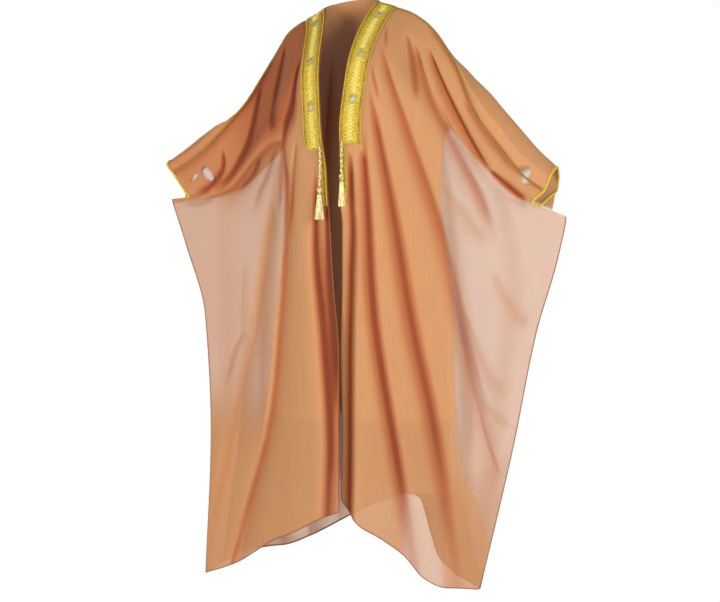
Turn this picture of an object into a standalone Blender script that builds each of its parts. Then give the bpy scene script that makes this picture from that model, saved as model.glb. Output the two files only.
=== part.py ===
"""Bisht cloak, worn open on a general figure with both arms held out and down.

Frame: metres, +Z up, the wearer faces -Y and the wearer's left is +X.  The
origin is the middle of the neck base, level with the top of the shoulders.
Every cloth piece is a wall worked out from the cut of the garment: a row of
sizes for the neck edge, the shoulder seam, the side edge and the hem, and one
row for each large fold.
"""
import math

import bmesh
import bpy
from mathutils import Vector

# ---------------------------------------------------------------- main sizes
CLOTH_WALL = 0.0020       # wall of the cloth panels
TRIM_WALL = 0.0016        # wall of the gold bands and edgings
GAP = 0.0003              # gap kept between neighbouring pieces
SEAM_SHIFT = 0.0013       # each panel stops at this t below a shoulder seam line
SIDE_SPACE = 0.0013       # half the distance between the panels at a side seam
NECK_HALF = 0.070         # half width of the neck opening
NECK_DEPTH = 0.062        # how far the neckline runs behind the shoulders
NECK_RISE = 0.022         # how much the back of the neckline stands up
BAND_WIDTH = 0.050        # gold band, measured across the front
ARM_T = 0.160             # t where the sleeve ends and the side seam hangs
BAND_END = 0.290          # t where the bands stop
EDGING_END = 0.400        # t where the narrow edgings stop
CORD_RADIUS = 0.0027      # gold cord on the shoulder seams
CUFF_RADIUS = 0.0032      # gold cord round the cuffs
SEAM_HOLLOW = 0.007      # extra height of the shoulder cord where the seam is hollow
CUFF_SPACE = 0.0016       # extra room for the cord where the cuff turns
TIE_RADIUS = 0.0036       # twisted tie cord
TIE_LENGTH_LEFT = 0.082
TIE_LENGTH_RIGHT = 0.100
TIE_OVERLAP = 0.010       # how far the tie cord is sewn up over the band's end
TASSEL_LENGTH = 0.066
TASSEL_TOP = 0.0048       # radius of the tassel under its knot
TASSEL_FOOT = 0.0115      # radius of the tassel at its lower end
KNOT_RADIUS = 0.0066
WING_DEPTH = 0.105        # how far the front stands off the side seams
CHEST_DEPTH = 0.055       # extra fullness over the chest
WING_BACK = 0.085         # the same two sizes for the back panel
BLADE_DEPTH = 0.050
CHEST_HALF = 0.175        # half width of the chest and shoulder blades
LIFT = 0.5 * CLOTH_WALL + GAP + 0.5 * TRIM_WALL + 0.0003   # gold above its panel

# ------------------------------------------------------- rows down the edges
# t runs from 0 at the shoulder seam to 1 at the hem.
# edge_*: x of the two front edges.
EDGE_ROWS = (
    # t,    edge_left, edge_right
    (0.000, 0.070, -0.070),
    (0.030, 0.056, -0.055),
    (0.080, 0.044, -0.044),
    (0.160, 0.034, -0.034),
    (0.260, 0.0215, -0.026),
    (0.330, 0.0225, -0.0135),
    (0.390, 0.0225, -0.0115),
    (0.460, 0.034, -0.008),
    (0.560, 0.033, -0.002),
    (0.690, 0.029, 0.010),
    (0.850, 0.032, 0.010),
    (1.000, 0.029, 0.012),
)
# Side edges: x of the edge and the share of the drop from seam to hem.  The
# first rows follow the cuff, 0.16 is where the hand gathers the side seam.
SIDE_ROWS = (
    # t,   left_x, left_drop, right_x, right_drop
    (0.00, 0.511, 0.000, -0.470, 0.000),
    (0.08, 0.482, 0.032, -0.428, 0.057),
    (0.12, 0.520, 0.048, -0.462, 0.062),
    (0.16, 0.557, 0.064, -0.497, 0.066),
    (0.26, 0.534, 0.176, -0.458, 0.176),
    (0.42, 0.482, 0.354, -0.402, 0.355),
    (0.68, 0.423, 0.644, -0.386, 0.644),
    (1.00, 0.339, 1.000, -0.401, 1.000),
)
# Depth of the front panel along its own side edge (y).
FRONT_SIDE_Y = ((0.0, -0.050), (0.06, -0.056), (0.09, -0.040), (0.12, -0.014),
                (0.16, -SIDE_SPACE), (0.20, -SIDE_SPACE), (1.0, -SIDE_SPACE))
# The back panel's side edge runs up over the wrist before it reaches the seam.
BACK_SIDE_ROWS = (
    # t,   y,     left_x, left_z, right_x, right_z
    (0.00, -0.050, 0.511, -0.457, -0.470, -0.411),
    (0.03, -0.046, 0.524, -0.426, -0.489, -0.390),
    (0.06, -0.002, 0.534, -0.397, -0.496, -0.376),
    (0.09, 0.040, 0.528, -0.434, -0.480, -0.412),
    (0.12, 0.014, 0.520, -0.505, -0.462, -0.476),
    (0.16, SIDE_SPACE, 0.557, -0.521, -0.497, -0.480),
)
# Shoulder seam: height by distance from the middle, for both shoulders.
SEAM_LEFT = ((0.075, 0.020), (0.115, 0.009), (0.159, -0.006), (0.202, -0.034), (0.231, -0.063),
             (0.257, -0.100), (0.285, -0.149), (0.308, -0.203), (0.328, -0.247), (0.368, -0.305),
             (0.407, -0.353), (0.455, -0.413), (0.511, -0.457))
SEAM_RIGHT = ((0.068, 0.012), (0.098, -0.008), (0.137, -0.027), (0.168, -0.050), (0.193, -0.088),
              (0.242, -0.168), (0.274, -0.221), (0.307, -0.264), (0.356, -0.322), (0.398, -0.361),
              (0.470, -0.411))
SEAM_Y = ((0.07, 0.0), (0.20, -0.004), (0.28, -0.022), (0.36, -0.044), (0.52, -0.050))
# The back panel stands up over the arm before it hangs: its rise at the arm.
RISE_LEFT = ((0.23, 0.0), (0.260, 0.022), (0.285, 0.040), (0.308, 0.055), (0.328, 0.068), (0.368, 0.078),
             (0.407, 0.084), (0.455, 0.095), (0.511, 0.098))
RISE_RIGHT = ((0.28, 0.0), (0.311, 0.012), (0.356, 0.047), (0.398, 0.057), (0.470, 0.054))
# Hem heights by x.
HEM_FRONT_LEFT = ((0.029, -1.228), (0.048, -1.276), (0.114, -1.323), (0.160, -1.362), (0.207, -1.422),
                  (0.260, -1.448), (0.339, -1.452))
HEM_FRONT_RIGHT = ((-0.401, -1.460), (-0.315, -1.428), (-0.235, -1.380), (-0.197, -1.355),
                   (-0.103, -1.311), (-0.044, -1.279), (0.012, -1.256))
HEM_BACK = ((-0.401, -1.460), (-0.280, -1.394), (-0.200, -1.386), (-0.139, -1.362), (-0.050, -1.314),
            (-0.016, -1.295), (0.060, -1.262), (0.120, -1.240), (0.165, -1.246), (0.222, -1.390),
            (0.339, -1.452))
# How full the panels hang at each height, against the sizes above.
FULLNESS = (
    # z,    front, back
    (-1.48, 0.90, 1.22),
    (-1.00, 0.90, 1.12),
    (-0.60, 0.94, 1.00),
    (-0.30, 1.00, 1.00),
    (-0.12, 0.98, 1.02),
    (0.05, 0.90, 0.90),
)

# ------------------------------------------------------------- large folds
# Each row is one trough: five places down it as x and z, then its depth and
# its half width.  The front rows and the back rows are seen from the front.
FOLDS_FRONT_LEFT = (
    # x1, z1, x2, z2, x3, z3, x4, z4, x5, z5, depth, half_width
    (0.075, -0.29, 0.084, -0.48, 0.105, -0.77, 0.155, -1.12, 0.182, -1.33, 0.024, 0.021),
    (0.110, -0.22, 0.141, -0.48, 0.198, -0.79, 0.251, -1.05, 0.301, -1.38, 0.024, 0.024),
    (0.125, -0.13, 0.176, -0.31, 0.255, -0.57, 0.304, -0.80, 0.392, -1.20, 0.022, 0.026),
    (0.227, -0.12, 0.285, -0.25, 0.349, -0.37, 0.402, -0.43, 0.468, -0.49, 0.020, 0.024),
)
FOLDS_FRONT_RIGHT = (
    (-0.050, -0.42, -0.055, -0.60, -0.040, -0.83, -0.025, -1.11, -0.022, -1.23, 0.022, 0.020),
    (-0.130, -0.12, -0.147, -0.35, -0.148, -0.63, -0.178, -0.96, -0.274, -1.28, 0.022, 0.024),
    (-0.195, -0.20, -0.190, -0.45, -0.221, -0.64, -0.281, -0.88, -0.372, -1.22, 0.018, 0.026),
    (-0.226, -0.10, -0.258, -0.22, -0.295, -0.36, -0.340, -0.42, -0.400, -0.46, 0.018, 0.024),
    (-0.310, -0.50, -0.315, -0.70, -0.335, -0.85, -0.355, -1.00, -0.370, -1.10, 0.010, 0.028),
)
FOLDS_BACK = (
    (0.020, -0.12, 0.015, -0.40, 0.010, -0.70, 0.008, -1.00, 0.005, -1.25, 0.020, 0.026),
    (0.105, -0.10, 0.120, -0.40, 0.140, -0.70, 0.160, -1.00, 0.175, -1.25, 0.022, 0.026),
    (-0.085, -0.10, -0.100, -0.40, -0.115, -0.70, -0.125, -1.00, -0.130, -1.35, 0.022, 0.026),
    (0.190, -0.14, 0.235, -0.40, 0.275, -0.68, 0.290, -1.00, 0.275, -1.38, 0.020, 0.028),
    (-0.180, -0.14, -0.220, -0.40, -0.245, -0.68, -0.250, -1.00, -0.260, -1.36, 0.020, 0.028),
    (0.330, -0.36, 0.400, -0.50, 0.420, -0.70, 0.390, -0.95, 0.340, -1.30, 0.012, 0.028),
    (-0.310, -0.34, -0.360, -0.50, -0.350, -0.72, -0.340, -1.00, -0.345, -1.38, 0.012, 0.028),
)

# --------------------------------------------------------------- mesh sizes
BAND_COLUMNS = 4          # columns of the front panels under the gold band
WING_COLUMNS = 16         # columns from the bands out to the side edges
NECK_OPENING = 8          # columns of the back panel along the neckline itself
NECK_ROWS = 3
NECK_DROP = 0.052         # how far the neck band runs down the back, as t
# The rows of every panel: from one t to the next in so many steps.
ROW_RUNS = ((0.0, ARM_T, 8), (ARM_T, BAND_END, 4), (BAND_END, EDGING_END, 3), (EDGING_END, 1.0, 11))
NECK_COLUMNS = NECK_OPENING + 2 * BAND_COLUMNS
FRONT_COLUMNS = BAND_COLUMNS + WING_COLUMNS
BACK_COLUMNS = NECK_COLUMNS + 2 * WING_COLUMNS
BAND_ROWS = 12
EDGING_ROWS = 3
CUFF_ROWS = 5


# ------------------------------------------------------------------ helpers
def ramp(low, high, value):
    """0 below low, 1 above high, smooth between."""
    u = min(1.0, max(0.0, (value - low) / (high - low)))
    return u * u * (3.0 - 2.0 * u)


def mix(a, b, u):
    return a + (b - a) * u


def pick(is_left, left, right):
    return left if is_left else right


def through(rows, at, column=1):
    """Smooth curve through a table, read at one value of its first column."""
    last = len(rows) - 1
    at = min(max(at, rows[0][0]), rows[last][0])
    i = 0
    while i < last - 1 and at > rows[i + 1][0]:
        i += 1

    def slope(k):
        if k in (0, last):
            j = min(k, last - 1)
            return (rows[j + 1][column] - rows[j][column]) / (rows[j + 1][0] - rows[j][0])
        before = (rows[k][column] - rows[k - 1][column]) / (rows[k][0] - rows[k - 1][0])
        after = (rows[k + 1][column] - rows[k][column]) / (rows[k + 1][0] - rows[k][0])
        if before * after <= 0.0:
            return 0.0
        return 2.0 * before * after / (before + after)

    width = rows[i + 1][0] - rows[i][0]
    u = (at - rows[i][0]) / width
    a, b = rows[i][column], rows[i + 1][column]
    return (a * (1 - u) ** 2 * (1 + 2 * u) + slope(i) * width * u * (1 - u) ** 2
            + b * u * u * (3 - 2 * u) - slope(i + 1) * width * u * u * (1 - u))


def fold_depth(folds, x, z):
    """How deep the troughs are at one place of a panel, seen from the front."""
    total = 0.0
    for row in folds:
        depth, half_width = row[10], row[11]
        nearest, along = 1.0, 0.0
        for k in range(4):
            ax, az, bx, bz = row[2 * k:2 * k + 4]
            dx, dz = bx - ax, bz - az
            u = ((x - ax) * dx + (z - az) * dz) / (dx * dx + dz * dz)
            u = min(1.4 if k == 3 else 1.0, max(-0.4 if k == 0 else 0.0, u))
            off = math.hypot(x - ax - u * dx, z - az - u * dz)
            if off < nearest:
                nearest, along = off, (k + u) / 4.0
        grown = ramp(-0.08, 0.25, along) * mix(0.75, 1.15, along)
        total += depth * grown * math.exp(-(nearest / half_width) ** 2)
    return total


# ------------------------------------------------------------ garment forms
def edge_x(is_left, t):
    return through(EDGE_ROWS, t, pick(is_left, 1, 2))


def side_x(is_left, t):
    return through(SIDE_ROWS, t, pick(is_left, 1, 3))


def side_drop(is_left, t):
    return through(SIDE_ROWS, t, pick(is_left, 2, 4))


def seam_height(is_left, x):
    return through(pick(is_left, SEAM_LEFT, SEAM_RIGHT), abs(x))


def hang(x, z, side, wing, bulge, column):
    """Distance of a panel from the side seams, seen from above."""
    q = min(1.0, abs(x) / max(abs(side), 0.36))
    full = wing * (1.0 - q ** 1.35) + bulge * math.exp(-(x / CHEST_HALF) ** 2) * (1.0 - q ** 4)
    return full * through(FULLNESS, z, column)


def folded(folds, x, z, room, free):
    """Trough depth that leaves the two panels apart near the side seams."""
    return min(fold_depth(folds, x, z) * free, max(0.0, room - 0.008) * 0.7)


def front_point(is_left, s, t):
    """Front panel: s from the front edge to the side edge, t down the cloth."""
    top_x = mix(edge_x(is_left, 0.0), side_x(is_left, 0.0), s)
    seam_y = through(SEAM_Y, abs(top_x))
    seam_z = seam_height(is_left, top_x)
    side = side_x(is_left, t)
    x = mix(edge_x(is_left, t), side, s)
    hem_rows = pick(is_left, HEM_FRONT_LEFT, HEM_FRONT_RIGHT)
    hem_z = through(hem_rows, mix(edge_x(is_left, 1.0), side_x(is_left, 1.0), s))
    z = mix(seam_z, hem_z, mix(t, side_drop(is_left, t), s ** 6))
    edge_z = mix(seam_height(is_left, NECK_HALF), through(hem_rows, edge_x(is_left, 1.0)), t)
    level = (1.0 - ramp(0.03, 0.40, s)) * ramp(0.02, 0.15, t) * (1.0 - ramp(0.40, 0.90, t))
    z = mix(z, edge_z, level)
    room = hang(x, z, side, WING_DEPTH, CHEST_DEPTH, 1)
    over = math.sin(0.5 * math.pi * min(1.0, t / 0.17)) ** 0.85
    y = mix(seam_y, -room, over)
    y += (through(FRONT_SIDE_Y, t) - mix(through(SEAM_Y, abs(side_x(is_left, 0.0))), 0.0, over)) * s ** 6
    free = (1.0 - ramp(0.90, 1.0, s)) * ramp(0.01, 0.08, t)
    folds = pick(is_left, FOLDS_FRONT_LEFT, FOLDS_FRONT_RIGHT)
    y += folded(folds, x, z, -y, free)
    turned = ramp(0.36, 0.48, t) * (1.0 - ramp(0.0, 0.07, s)) if is_left else 0.0
    return x - 0.022 * turned, y + 0.034 * turned, z


def back_base(top_x, t):
    """Back panel before its side edge is brought to its own line."""
    is_left = top_x >= 0.0
    side_top = side_x(is_left, 0.0)
    s = min(1.0, top_x / side_top)
    neck = math.sqrt(max(0.0, 1.0 - (top_x / NECK_HALF) ** 2))
    seam_y = through(SEAM_Y, abs(top_x))
    seam_z = seam_height(is_left, top_x)
    if abs(top_x) < NECK_HALF:
        seam_z = mix(seam_height(False, NECK_HALF), seam_height(True, NECK_HALF),
                     ramp(-NECK_HALF, NECK_HALF, top_x))
    # over the shoulder
    shoulder_y = seam_y + NECK_DEPTH * neck
    shoulder_y += mix(0.104, 0.052, neck) * math.sin(0.5 * math.pi * min(1.0, t / 0.18))
    shoulder_z = seam_z + NECK_RISE * neck - mix(4.6 * t * t + 0.12 * t, 1.22 * t, neck)
    # over the arm
    arm = ramp(0.23, 0.34, abs(top_x))
    rise = through(pick(is_left, RISE_LEFT, RISE_RIGHT), abs(top_x))
    arm_y = through(((0.0, seam_y), (0.03, -0.046), (0.06, -0.002), (0.09, 0.040), (0.13, 0.044),
                     (0.3, 0.040)), t)
    arm_z = seam_z + 0.65 * rise * through(((0.0, 0.0), (0.03, 0.5), (0.06, 1.0), (0.3, 1.0)), t)
    arm_z -= through(((0.0, 0.0), (0.06, 0.0), (0.09, 0.040), (0.13, 0.115), (0.3, 0.33)), t)
    spread = 0.35 * rise * through(((0.0, 0.0), (0.03, 0.5), (0.06, 1.0), (0.11, 0.6), (0.3, 0.0)), t)
    # down the back
    side = side_x(is_left, t)
    x = side * s if t > ARM_T else mix(top_x, side_x(is_left, ARM_T) * s, ramp(0.0, ARM_T, t))
    x += pick(is_left, spread, -spread) * arm
    hem_z = through(HEM_BACK, side_x(is_left, 1.0) * s)
    low_z = mix(seam_z, hem_z, mix(t, side_drop(is_left, t), s ** 6))
    settle = ramp(0.08, 0.26, t)
    y = mix(mix(shoulder_y, arm_y, arm), hang(x, low_z, side, WING_BACK, BLADE_DEPTH, 2), settle)
    z = mix(mix(shoulder_z, arm_z, arm), low_z, settle)
    return x, y, z


def back_side(is_left, t):
    """The side edge of the back panel."""
    if t < ARM_T:
        return [through(BACK_SIDE_ROWS, t, c) for c in pick(is_left, (2, 1, 3), (4, 1, 5))]
    side_top = seam_height(is_left, side_x(is_left, 0.0))
    corner_z = through(HEM_BACK, side_x(is_left, 1.0))
    return side_x(is_left, t), SIDE_SPACE, mix(side_top, corner_z, side_drop(is_left, t))


def back_point(top_x, t):
    """Back panel: top_x is where its thread starts on the seam or neckline."""
    is_left = top_x >= 0.0
    side_top = side_x(is_left, 0.0)
    s = min(1.0, top_x / side_top)
    base, edge, goal = back_base(top_x, t), back_base(side_top, t), back_side(is_left, t)
    x, y, z = (b + (g - e) * s ** 5 for b, e, g in zip(base, edge, goal))
    free = (1.0 - ramp(0.90, 1.0, s)) * ramp(0.10, 0.20, t)
    return x, y - folded(FOLDS_BACK, x, z, y, free), z


# -------------------------------------------------------- rows and columns
def row_list():
    rows = [0.0]
    for first, last, steps in ROW_RUNS:
        rows += [mix(first, last, (k + 1) / steps) for k in range(steps)]
    return rows


ROWS = row_list()


def front_grid(is_left, column, row):
    """Point of a front panel at a column and row of its mesh."""
    t = max(SEAM_SHIFT, ROWS[row])
    band = BAND_WIDTH / abs(side_x(is_left, t) - edge_x(is_left, t))
    if column <= BAND_COLUMNS:
        s = band * column / BAND_COLUMNS
    else:
        s = mix(band, 1.0, (column - BAND_COLUMNS) / (FRONT_COLUMNS - BAND_COLUMNS))
    return front_point(is_left, s, t)


def neck_reach(top_x):
    """t of the neck band's lower border, carried on smoothly past its ends."""
    outer = NECK_HALF + BAND_WIDTH
    arc = NECK_DROP * math.sqrt(max(0.03, 1.0 - (min(abs(top_x), outer) / (outer + 0.002)) ** 2))
    return mix(arc, ROWS[NECK_ROWS], ramp(outer, outer + 0.12, abs(top_x)))


def back_top_x(column):
    """Where the threads of the back panel start, by column of its mesh."""
    is_left = 2 * column > BACK_COLUMNS
    out = abs(2 * column - BACK_COLUMNS) / 2.0 - NECK_OPENING / 2.0
    sign = pick(is_left, 1.0, -1.0)
    if out < 0.0:
        return sign * NECK_HALF * math.sin(0.5 * math.pi * (1.0 + 2.0 * out / NECK_OPENING))
    if out <= BAND_COLUMNS:
        return sign * (NECK_HALF + BAND_WIDTH * out / BAND_COLUMNS)
    side_top = abs(side_x(is_left, 0.0))
    return sign * mix(NECK_HALF + BAND_WIDTH, side_top, (out - BAND_COLUMNS) / WING_COLUMNS)


def back_grid(column, row):
    """Point of the back panel at a column and row of its mesh."""
    top_x = back_top_x(column)
    reach = neck_reach(top_x)
    if row <= NECK_ROWS:
        t = reach * row / NECK_ROWS
    else:
        t = mix(reach, 1.0, (ROWS[row] - ROWS[NECK_ROWS]) / (1.0 - ROWS[NECK_ROWS]))
    return back_point(top_x, max(SEAM_SHIFT, t))


# --------------------------------------------------------------- mesh tools
def material(name, colour, roughness, metallic=0.0):
    made = bpy.data.materials.new(name)
    made.use_nodes = True
    shader = made.node_tree.nodes["Principled BSDF"]
    shader.inputs["Base Color"].default_value = (*colour, 1.0)
    shader.inputs["Roughness"].default_value = roughness
    shader.inputs["Metallic"].default_value = metallic
    made.diffuse_color = (*colour, 1.0)
    return made


def add_object(name, data, finish):
    made = bpy.data.objects.new(name, data)
    bpy.context.scene.collection.objects.link(made)
    data.materials.append(finish)
    return made


def cloth_wall(name, columns, rows, place, wall, finish, out_y):
    """A wall of cloth: a grid moved to its form, thickened to both sides.

    place(column, row) gives a point; out_y is 1 where the outer side of the
    sheet looks backwards and -1 where it looks forwards.
    """
    mesh = bpy.data.meshes.new(name)
    work = bmesh.new()
    bmesh.ops.create_grid(work, x_segments=columns, y_segments=rows, size=0.5)
    for vertex in work.verts:
        column = round((vertex.co.x + 0.5) * columns)
        row = round((0.5 - vertex.co.y) * rows)
        vertex.co = place(column, row)
    work.normal_update()
    if sum(face.normal.y * face.calc_area() for face in work.faces) * out_y < 0.0:
        bmesh.ops.reverse_faces(work, faces=work.faces)
    bmesh.ops.triangulate(work, faces=work.faces, quad_method="FIXED")
    work.to_mesh(mesh)
    work.free()
    mesh.shade_smooth()
    made = add_object(name, mesh, finish)
    thick = made.modifiers.new("wall", "SOLIDIFY")
    thick.thickness = wall
    thick.offset = 0.0
    thick.use_rim = True
    return made


def form_normal(place, column, row, columns, rows):
    """Direction square to a form at one of its mesh points: across x down."""
    across = (Vector(place(min(columns, column + 1), row)) - Vector(place(max(0, column - 1), row)))
    down = (Vector(place(column, min(rows, row + 1))) - Vector(place(column, max(0, row - 1))))
    return across.cross(down).normalized()


def tube(name, path, radius, finish, closed=False):
    """A round cord along a path of points."""
    curve = bpy.data.curves.new(name, "CURVE")
    curve.dimensions = "3D"
    curve.bevel_depth = radius
    curve.bevel_resolution = 2
    curve.use_fill_caps = not closed
    spline = curve.splines.new("POLY")
    spline.points.add(len(path) - 1)
    for point, place in zip(spline.points, path):
        point.co = (*place, 1.0)
    spline.use_cyclic_u = closed
    return add_object(name, curve, finish)


def turned(name, profile, top, finish, sides=12):
    """A closed round solid turned about the upright line through top."""
    mesh = bpy.data.meshes.new(name)
    work = bmesh.new()
    verts = [work.verts.new((top[0] + radius, top[1], top[2] - down)) for radius, down in profile]
    edges = [work.edges.new(pair) for pair in zip(verts, verts[1:])]
    bmesh.ops.spin(work, geom=verts + edges, cent=top, axis=(0.0, 0.0, 1.0), angle=2.0 * math.pi,
                   steps=sides, use_merge=True)
    bmesh.ops.remove_doubles(work, verts=work.verts, dist=1e-5)
    bmesh.ops.recalc_face_normals(work, faces=work.faces)
    work.to_mesh(mesh)
    work.free()
    mesh.shade_smooth()
    return add_object(name, mesh, finish)


# ------------------------------------------------------------------- pieces
def front_panel(is_left, finish):
    cloth_wall(pick(is_left, "front_left", "front_right"), FRONT_COLUMNS, len(ROWS) - 1,
               lambda column, row: front_grid(is_left, column, row), CLOTH_WALL, finish, -1)


def back_panel(finish):
    cloth_wall("back", BACK_COLUMNS, len(ROWS) - 1, back_grid, CLOTH_WALL, finish, 1)


def front_normal(is_left, column, row):
    normal = form_normal(lambda c, r: front_grid(is_left, c, r), column, row, FRONT_COLUMNS, len(ROWS) - 1)
    return pick(is_left, -normal, normal)


def back_normal(column, row):
    return form_normal(back_grid, column, row, BACK_COLUMNS, len(ROWS) - 1)


def over_seam(is_left, column):
    """Where the gold passes over the shoulder seam, at one column of the band."""
    back_column = WING_COLUMNS + pick(is_left, NECK_COLUMNS - BAND_COLUMNS + column, BAND_COLUMNS - column)
    front, back = Vector(front_grid(is_left, column, 0)), Vector(back_grid(back_column, 0))
    normal = (front_normal(is_left, column, 0) + back_normal(back_column, 0)).normalized()
    return (front + back) / 2.0 + normal * (1.25 * LIFT), (front - back).normalized()


def gold_on_front(is_left, name, columns, first_row, rows, finish):
    """A gold strip made from the front panel's own points, moved out."""

    def place(column, row):
        if row + first_row == 0:
            seam, forward = over_seam(is_left, column)
            return seam + forward * (3.0 * GAP)
        spot = Vector(front_grid(is_left, column, row + first_row))
        spot += front_normal(is_left, column, row + first_row) * LIFT
        if row == 0:
            spot.z -= 2.0 * GAP
        return spot
    cloth_wall(name, columns, rows, place, TRIM_WALL, finish, -1)


def neck_band(finish):
    """The band round the back of the neck, from one shoulder seam to the other."""

    def place(column, row):
        edge = min(column, NECK_COLUMNS - column)
        if row == 0 and edge <= BAND_COLUMNS:
            seam, forward = over_seam(column > edge, BAND_COLUMNS - edge)
            return seam - forward * (3.0 * GAP)
        normal = back_normal(column + WING_COLUMNS, row)
        return Vector(back_grid(column + WING_COLUMNS, row)) + normal * (LIFT + GAP)
    cloth_wall("band_neck", NECK_COLUMNS, NECK_ROWS, place, TRIM_WALL, finish, 1)


def shoulder_cord(is_left, finish):
    """Gold cord on the shoulder seam, from the band to the cuff."""
    path = []
    for column in range(BAND_COLUMNS, FRONT_COLUMNS + 1):
        wing = column - BAND_COLUMNS
        back_column = pick(is_left, WING_COLUMNS + NECK_COLUMNS + wing, WING_COLUMNS - wing)
        front, back = Vector(front_grid(is_left, column, 0)), Vector(back_grid(back_column, 0))
        normal = (front_normal(is_left, column, 0) + back_normal(back_column, 0)).normalized()
        down = (Vector(front_grid(is_left, column, 1)) - front).normalized()
        down += (Vector(back_grid(back_column, 1)) - back).normalized()
        hollow = SEAM_HOLLOW * max(0.0, normal.dot(down))
        path.append((front + back) / 2.0 + normal * (0.5 * CLOTH_WALL + GAP + CORD_RADIUS + hollow))
    path[0] = path[0].lerp(path[1], 0.25)
    path[-1] = path[-1].lerp(path[-2], 0.30)
    tube(pick(is_left, "shoulder_cord_left", "shoulder_cord_right"), path, CORD_RADIUS, finish)


def cuff_cord(is_left, finish):
    """Gold cord round a cuff: it lies on the very edge of the opening."""
    last = BACK_COLUMNS if is_left else 0
    edge, inner = [], []
    for row in range(CUFF_ROWS, -1, -1):
        edge.append(Vector(back_grid(last, row)))
        inner.append(Vector(back_grid(last + pick(is_left, -1, 1), row)))
    for row in range(CUFF_ROWS + 1):
        edge.append(Vector(front_grid(is_left, FRONT_COLUMNS, row)))
        inner.append(Vector(front_grid(is_left, FRONT_COLUMNS - 1, row)))
    path = []
    for k in range(len(edge)):
        along = (edge[min(k + 1, len(edge) - 1)] - edge[max(k - 1, 0)]).normalized()
        out = edge[k] - inner[k]
        out = (out - along * out.dot(along)).normalized()
        path.append(edge[k] + out * (CUFF_RADIUS + GAP + CUFF_SPACE))
    path[CUFF_ROWS:CUFF_ROWS + 2] = [(path[CUFF_ROWS] + path[CUFF_ROWS + 1]) / 2.0]
    tube(pick(is_left, "cuff_cord_left", "cuff_cord_right"), path, CUFF_RADIUS, finish, closed=True)


def tie_place(is_left):
    """Top of a tie cord, sewn on the lower end of its band."""
    t = BAND_END
    band = BAND_WIDTH / abs(side_x(is_left, t) - edge_x(is_left, t))
    x, y, z = front_point(is_left, 0.16 * band, t)
    lift = 0.5 * CLOTH_WALL + 4.0 * GAP + TRIM_WALL + TIE_RADIUS
    return Vector((x, y - lift, z + TIE_OVERLAP))


def tie_and_tassel(is_left, gold, pale_gold):
    """A twisted cord with a tassel on its end."""
    top = tie_place(is_left)
    steps = 8
    sway = pick(is_left, -0.001, 0.002)
    length = pick(is_left, TIE_LENGTH_LEFT, TIE_LENGTH_RIGHT)
    path = []
    for k in range(steps + 1):
        u = k / steps
        path.append(top + Vector((sway * math.sin(math.pi * u), -0.004 * math.sin(0.5 * math.pi * u),
                                  -length * u)))
    tube(pick(is_left, "tie_left", "tie_right"), path, TIE_RADIUS, gold)
    foot = path[-1] - Vector((0.0, 0.0, 2.0 * GAP))
    neck = 2.3 * KNOT_RADIUS
    profile = (
        # radius, distance down
        (0.0, 0.0),
        (0.55 * KNOT_RADIUS, 0.0),
        (KNOT_RADIUS, 0.7 * KNOT_RADIUS),
        (KNOT_RADIUS, 1.4 * KNOT_RADIUS),
        (TASSEL_TOP, neck),
        (mix(TASSEL_TOP, TASSEL_FOOT, 0.5), neck + 0.45 * TASSEL_LENGTH),
        (TASSEL_FOOT, neck + TASSEL_LENGTH),
        (0.0, neck + TASSEL_LENGTH),
    )
    turned(pick(is_left, "tassel_left", "tassel_right"), profile, foot, pale_gold)


def main():
    for old in list(bpy.data.objects):
        bpy.data.objects.remove(old)
    cloth = material("sheer_camel_chiffon", (0.62, 0.30, 0.13), 0.75)
    gold = material("gold_zari_band", (0.60, 0.42, 0.07), 0.45, 0.6)
    cord_gold = material("gold_twisted_cord", (0.55, 0.38, 0.05), 0.40, 0.7)
    pale_gold = material("pale_gold_tassel", (0.78, 0.68, 0.30), 0.45, 0.5)
    back_panel(cloth)
    neck_band(gold)
    for is_left in (True, False):
        suffix = pick(is_left, "left", "right")
        front_panel(is_left, cloth)
        gold_on_front(is_left, "band_" + suffix, BAND_COLUMNS, 0, BAND_ROWS, gold)
        gold_on_front(is_left, "edging_" + suffix, 1, BAND_ROWS, EDGING_ROWS, gold)
        shoulder_cord(is_left, cord_gold)
        cuff_cord(is_left, cord_gold)
        tie_and_tassel(is_left, cord_gold, pale_gold)


main()
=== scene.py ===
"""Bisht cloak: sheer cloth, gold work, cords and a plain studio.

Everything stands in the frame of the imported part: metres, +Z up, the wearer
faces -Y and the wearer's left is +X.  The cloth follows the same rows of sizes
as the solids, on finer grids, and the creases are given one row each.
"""
import functools
import math

import bmesh
import bpy
import numpy as np
from bpy.props import FloatProperty, FloatVectorProperty, IntProperty, PointerProperty
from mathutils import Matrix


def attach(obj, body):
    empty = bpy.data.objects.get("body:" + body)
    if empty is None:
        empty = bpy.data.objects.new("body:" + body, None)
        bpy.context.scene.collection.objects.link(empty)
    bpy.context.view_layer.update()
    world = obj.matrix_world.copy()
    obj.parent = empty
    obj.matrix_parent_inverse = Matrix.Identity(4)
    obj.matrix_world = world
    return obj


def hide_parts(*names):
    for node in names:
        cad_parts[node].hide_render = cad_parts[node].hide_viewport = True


bl_info = {
    "name": "Bisht cloak",
    "version": (1, 0, 0),
    "blender": (4, 5, 0),
    "location": "View3D > Sidebar > Bisht",
    "description": "Builds the cloth, gold bands, cords and tassels of a bisht cloak",
    "category": "Object",
}

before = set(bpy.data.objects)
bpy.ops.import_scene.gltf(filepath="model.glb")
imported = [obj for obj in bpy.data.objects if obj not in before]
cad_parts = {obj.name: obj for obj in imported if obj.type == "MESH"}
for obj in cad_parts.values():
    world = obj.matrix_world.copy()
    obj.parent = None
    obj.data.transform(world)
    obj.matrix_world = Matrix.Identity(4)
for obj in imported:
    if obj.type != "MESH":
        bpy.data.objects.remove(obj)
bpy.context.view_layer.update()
BODY = "root"


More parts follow.
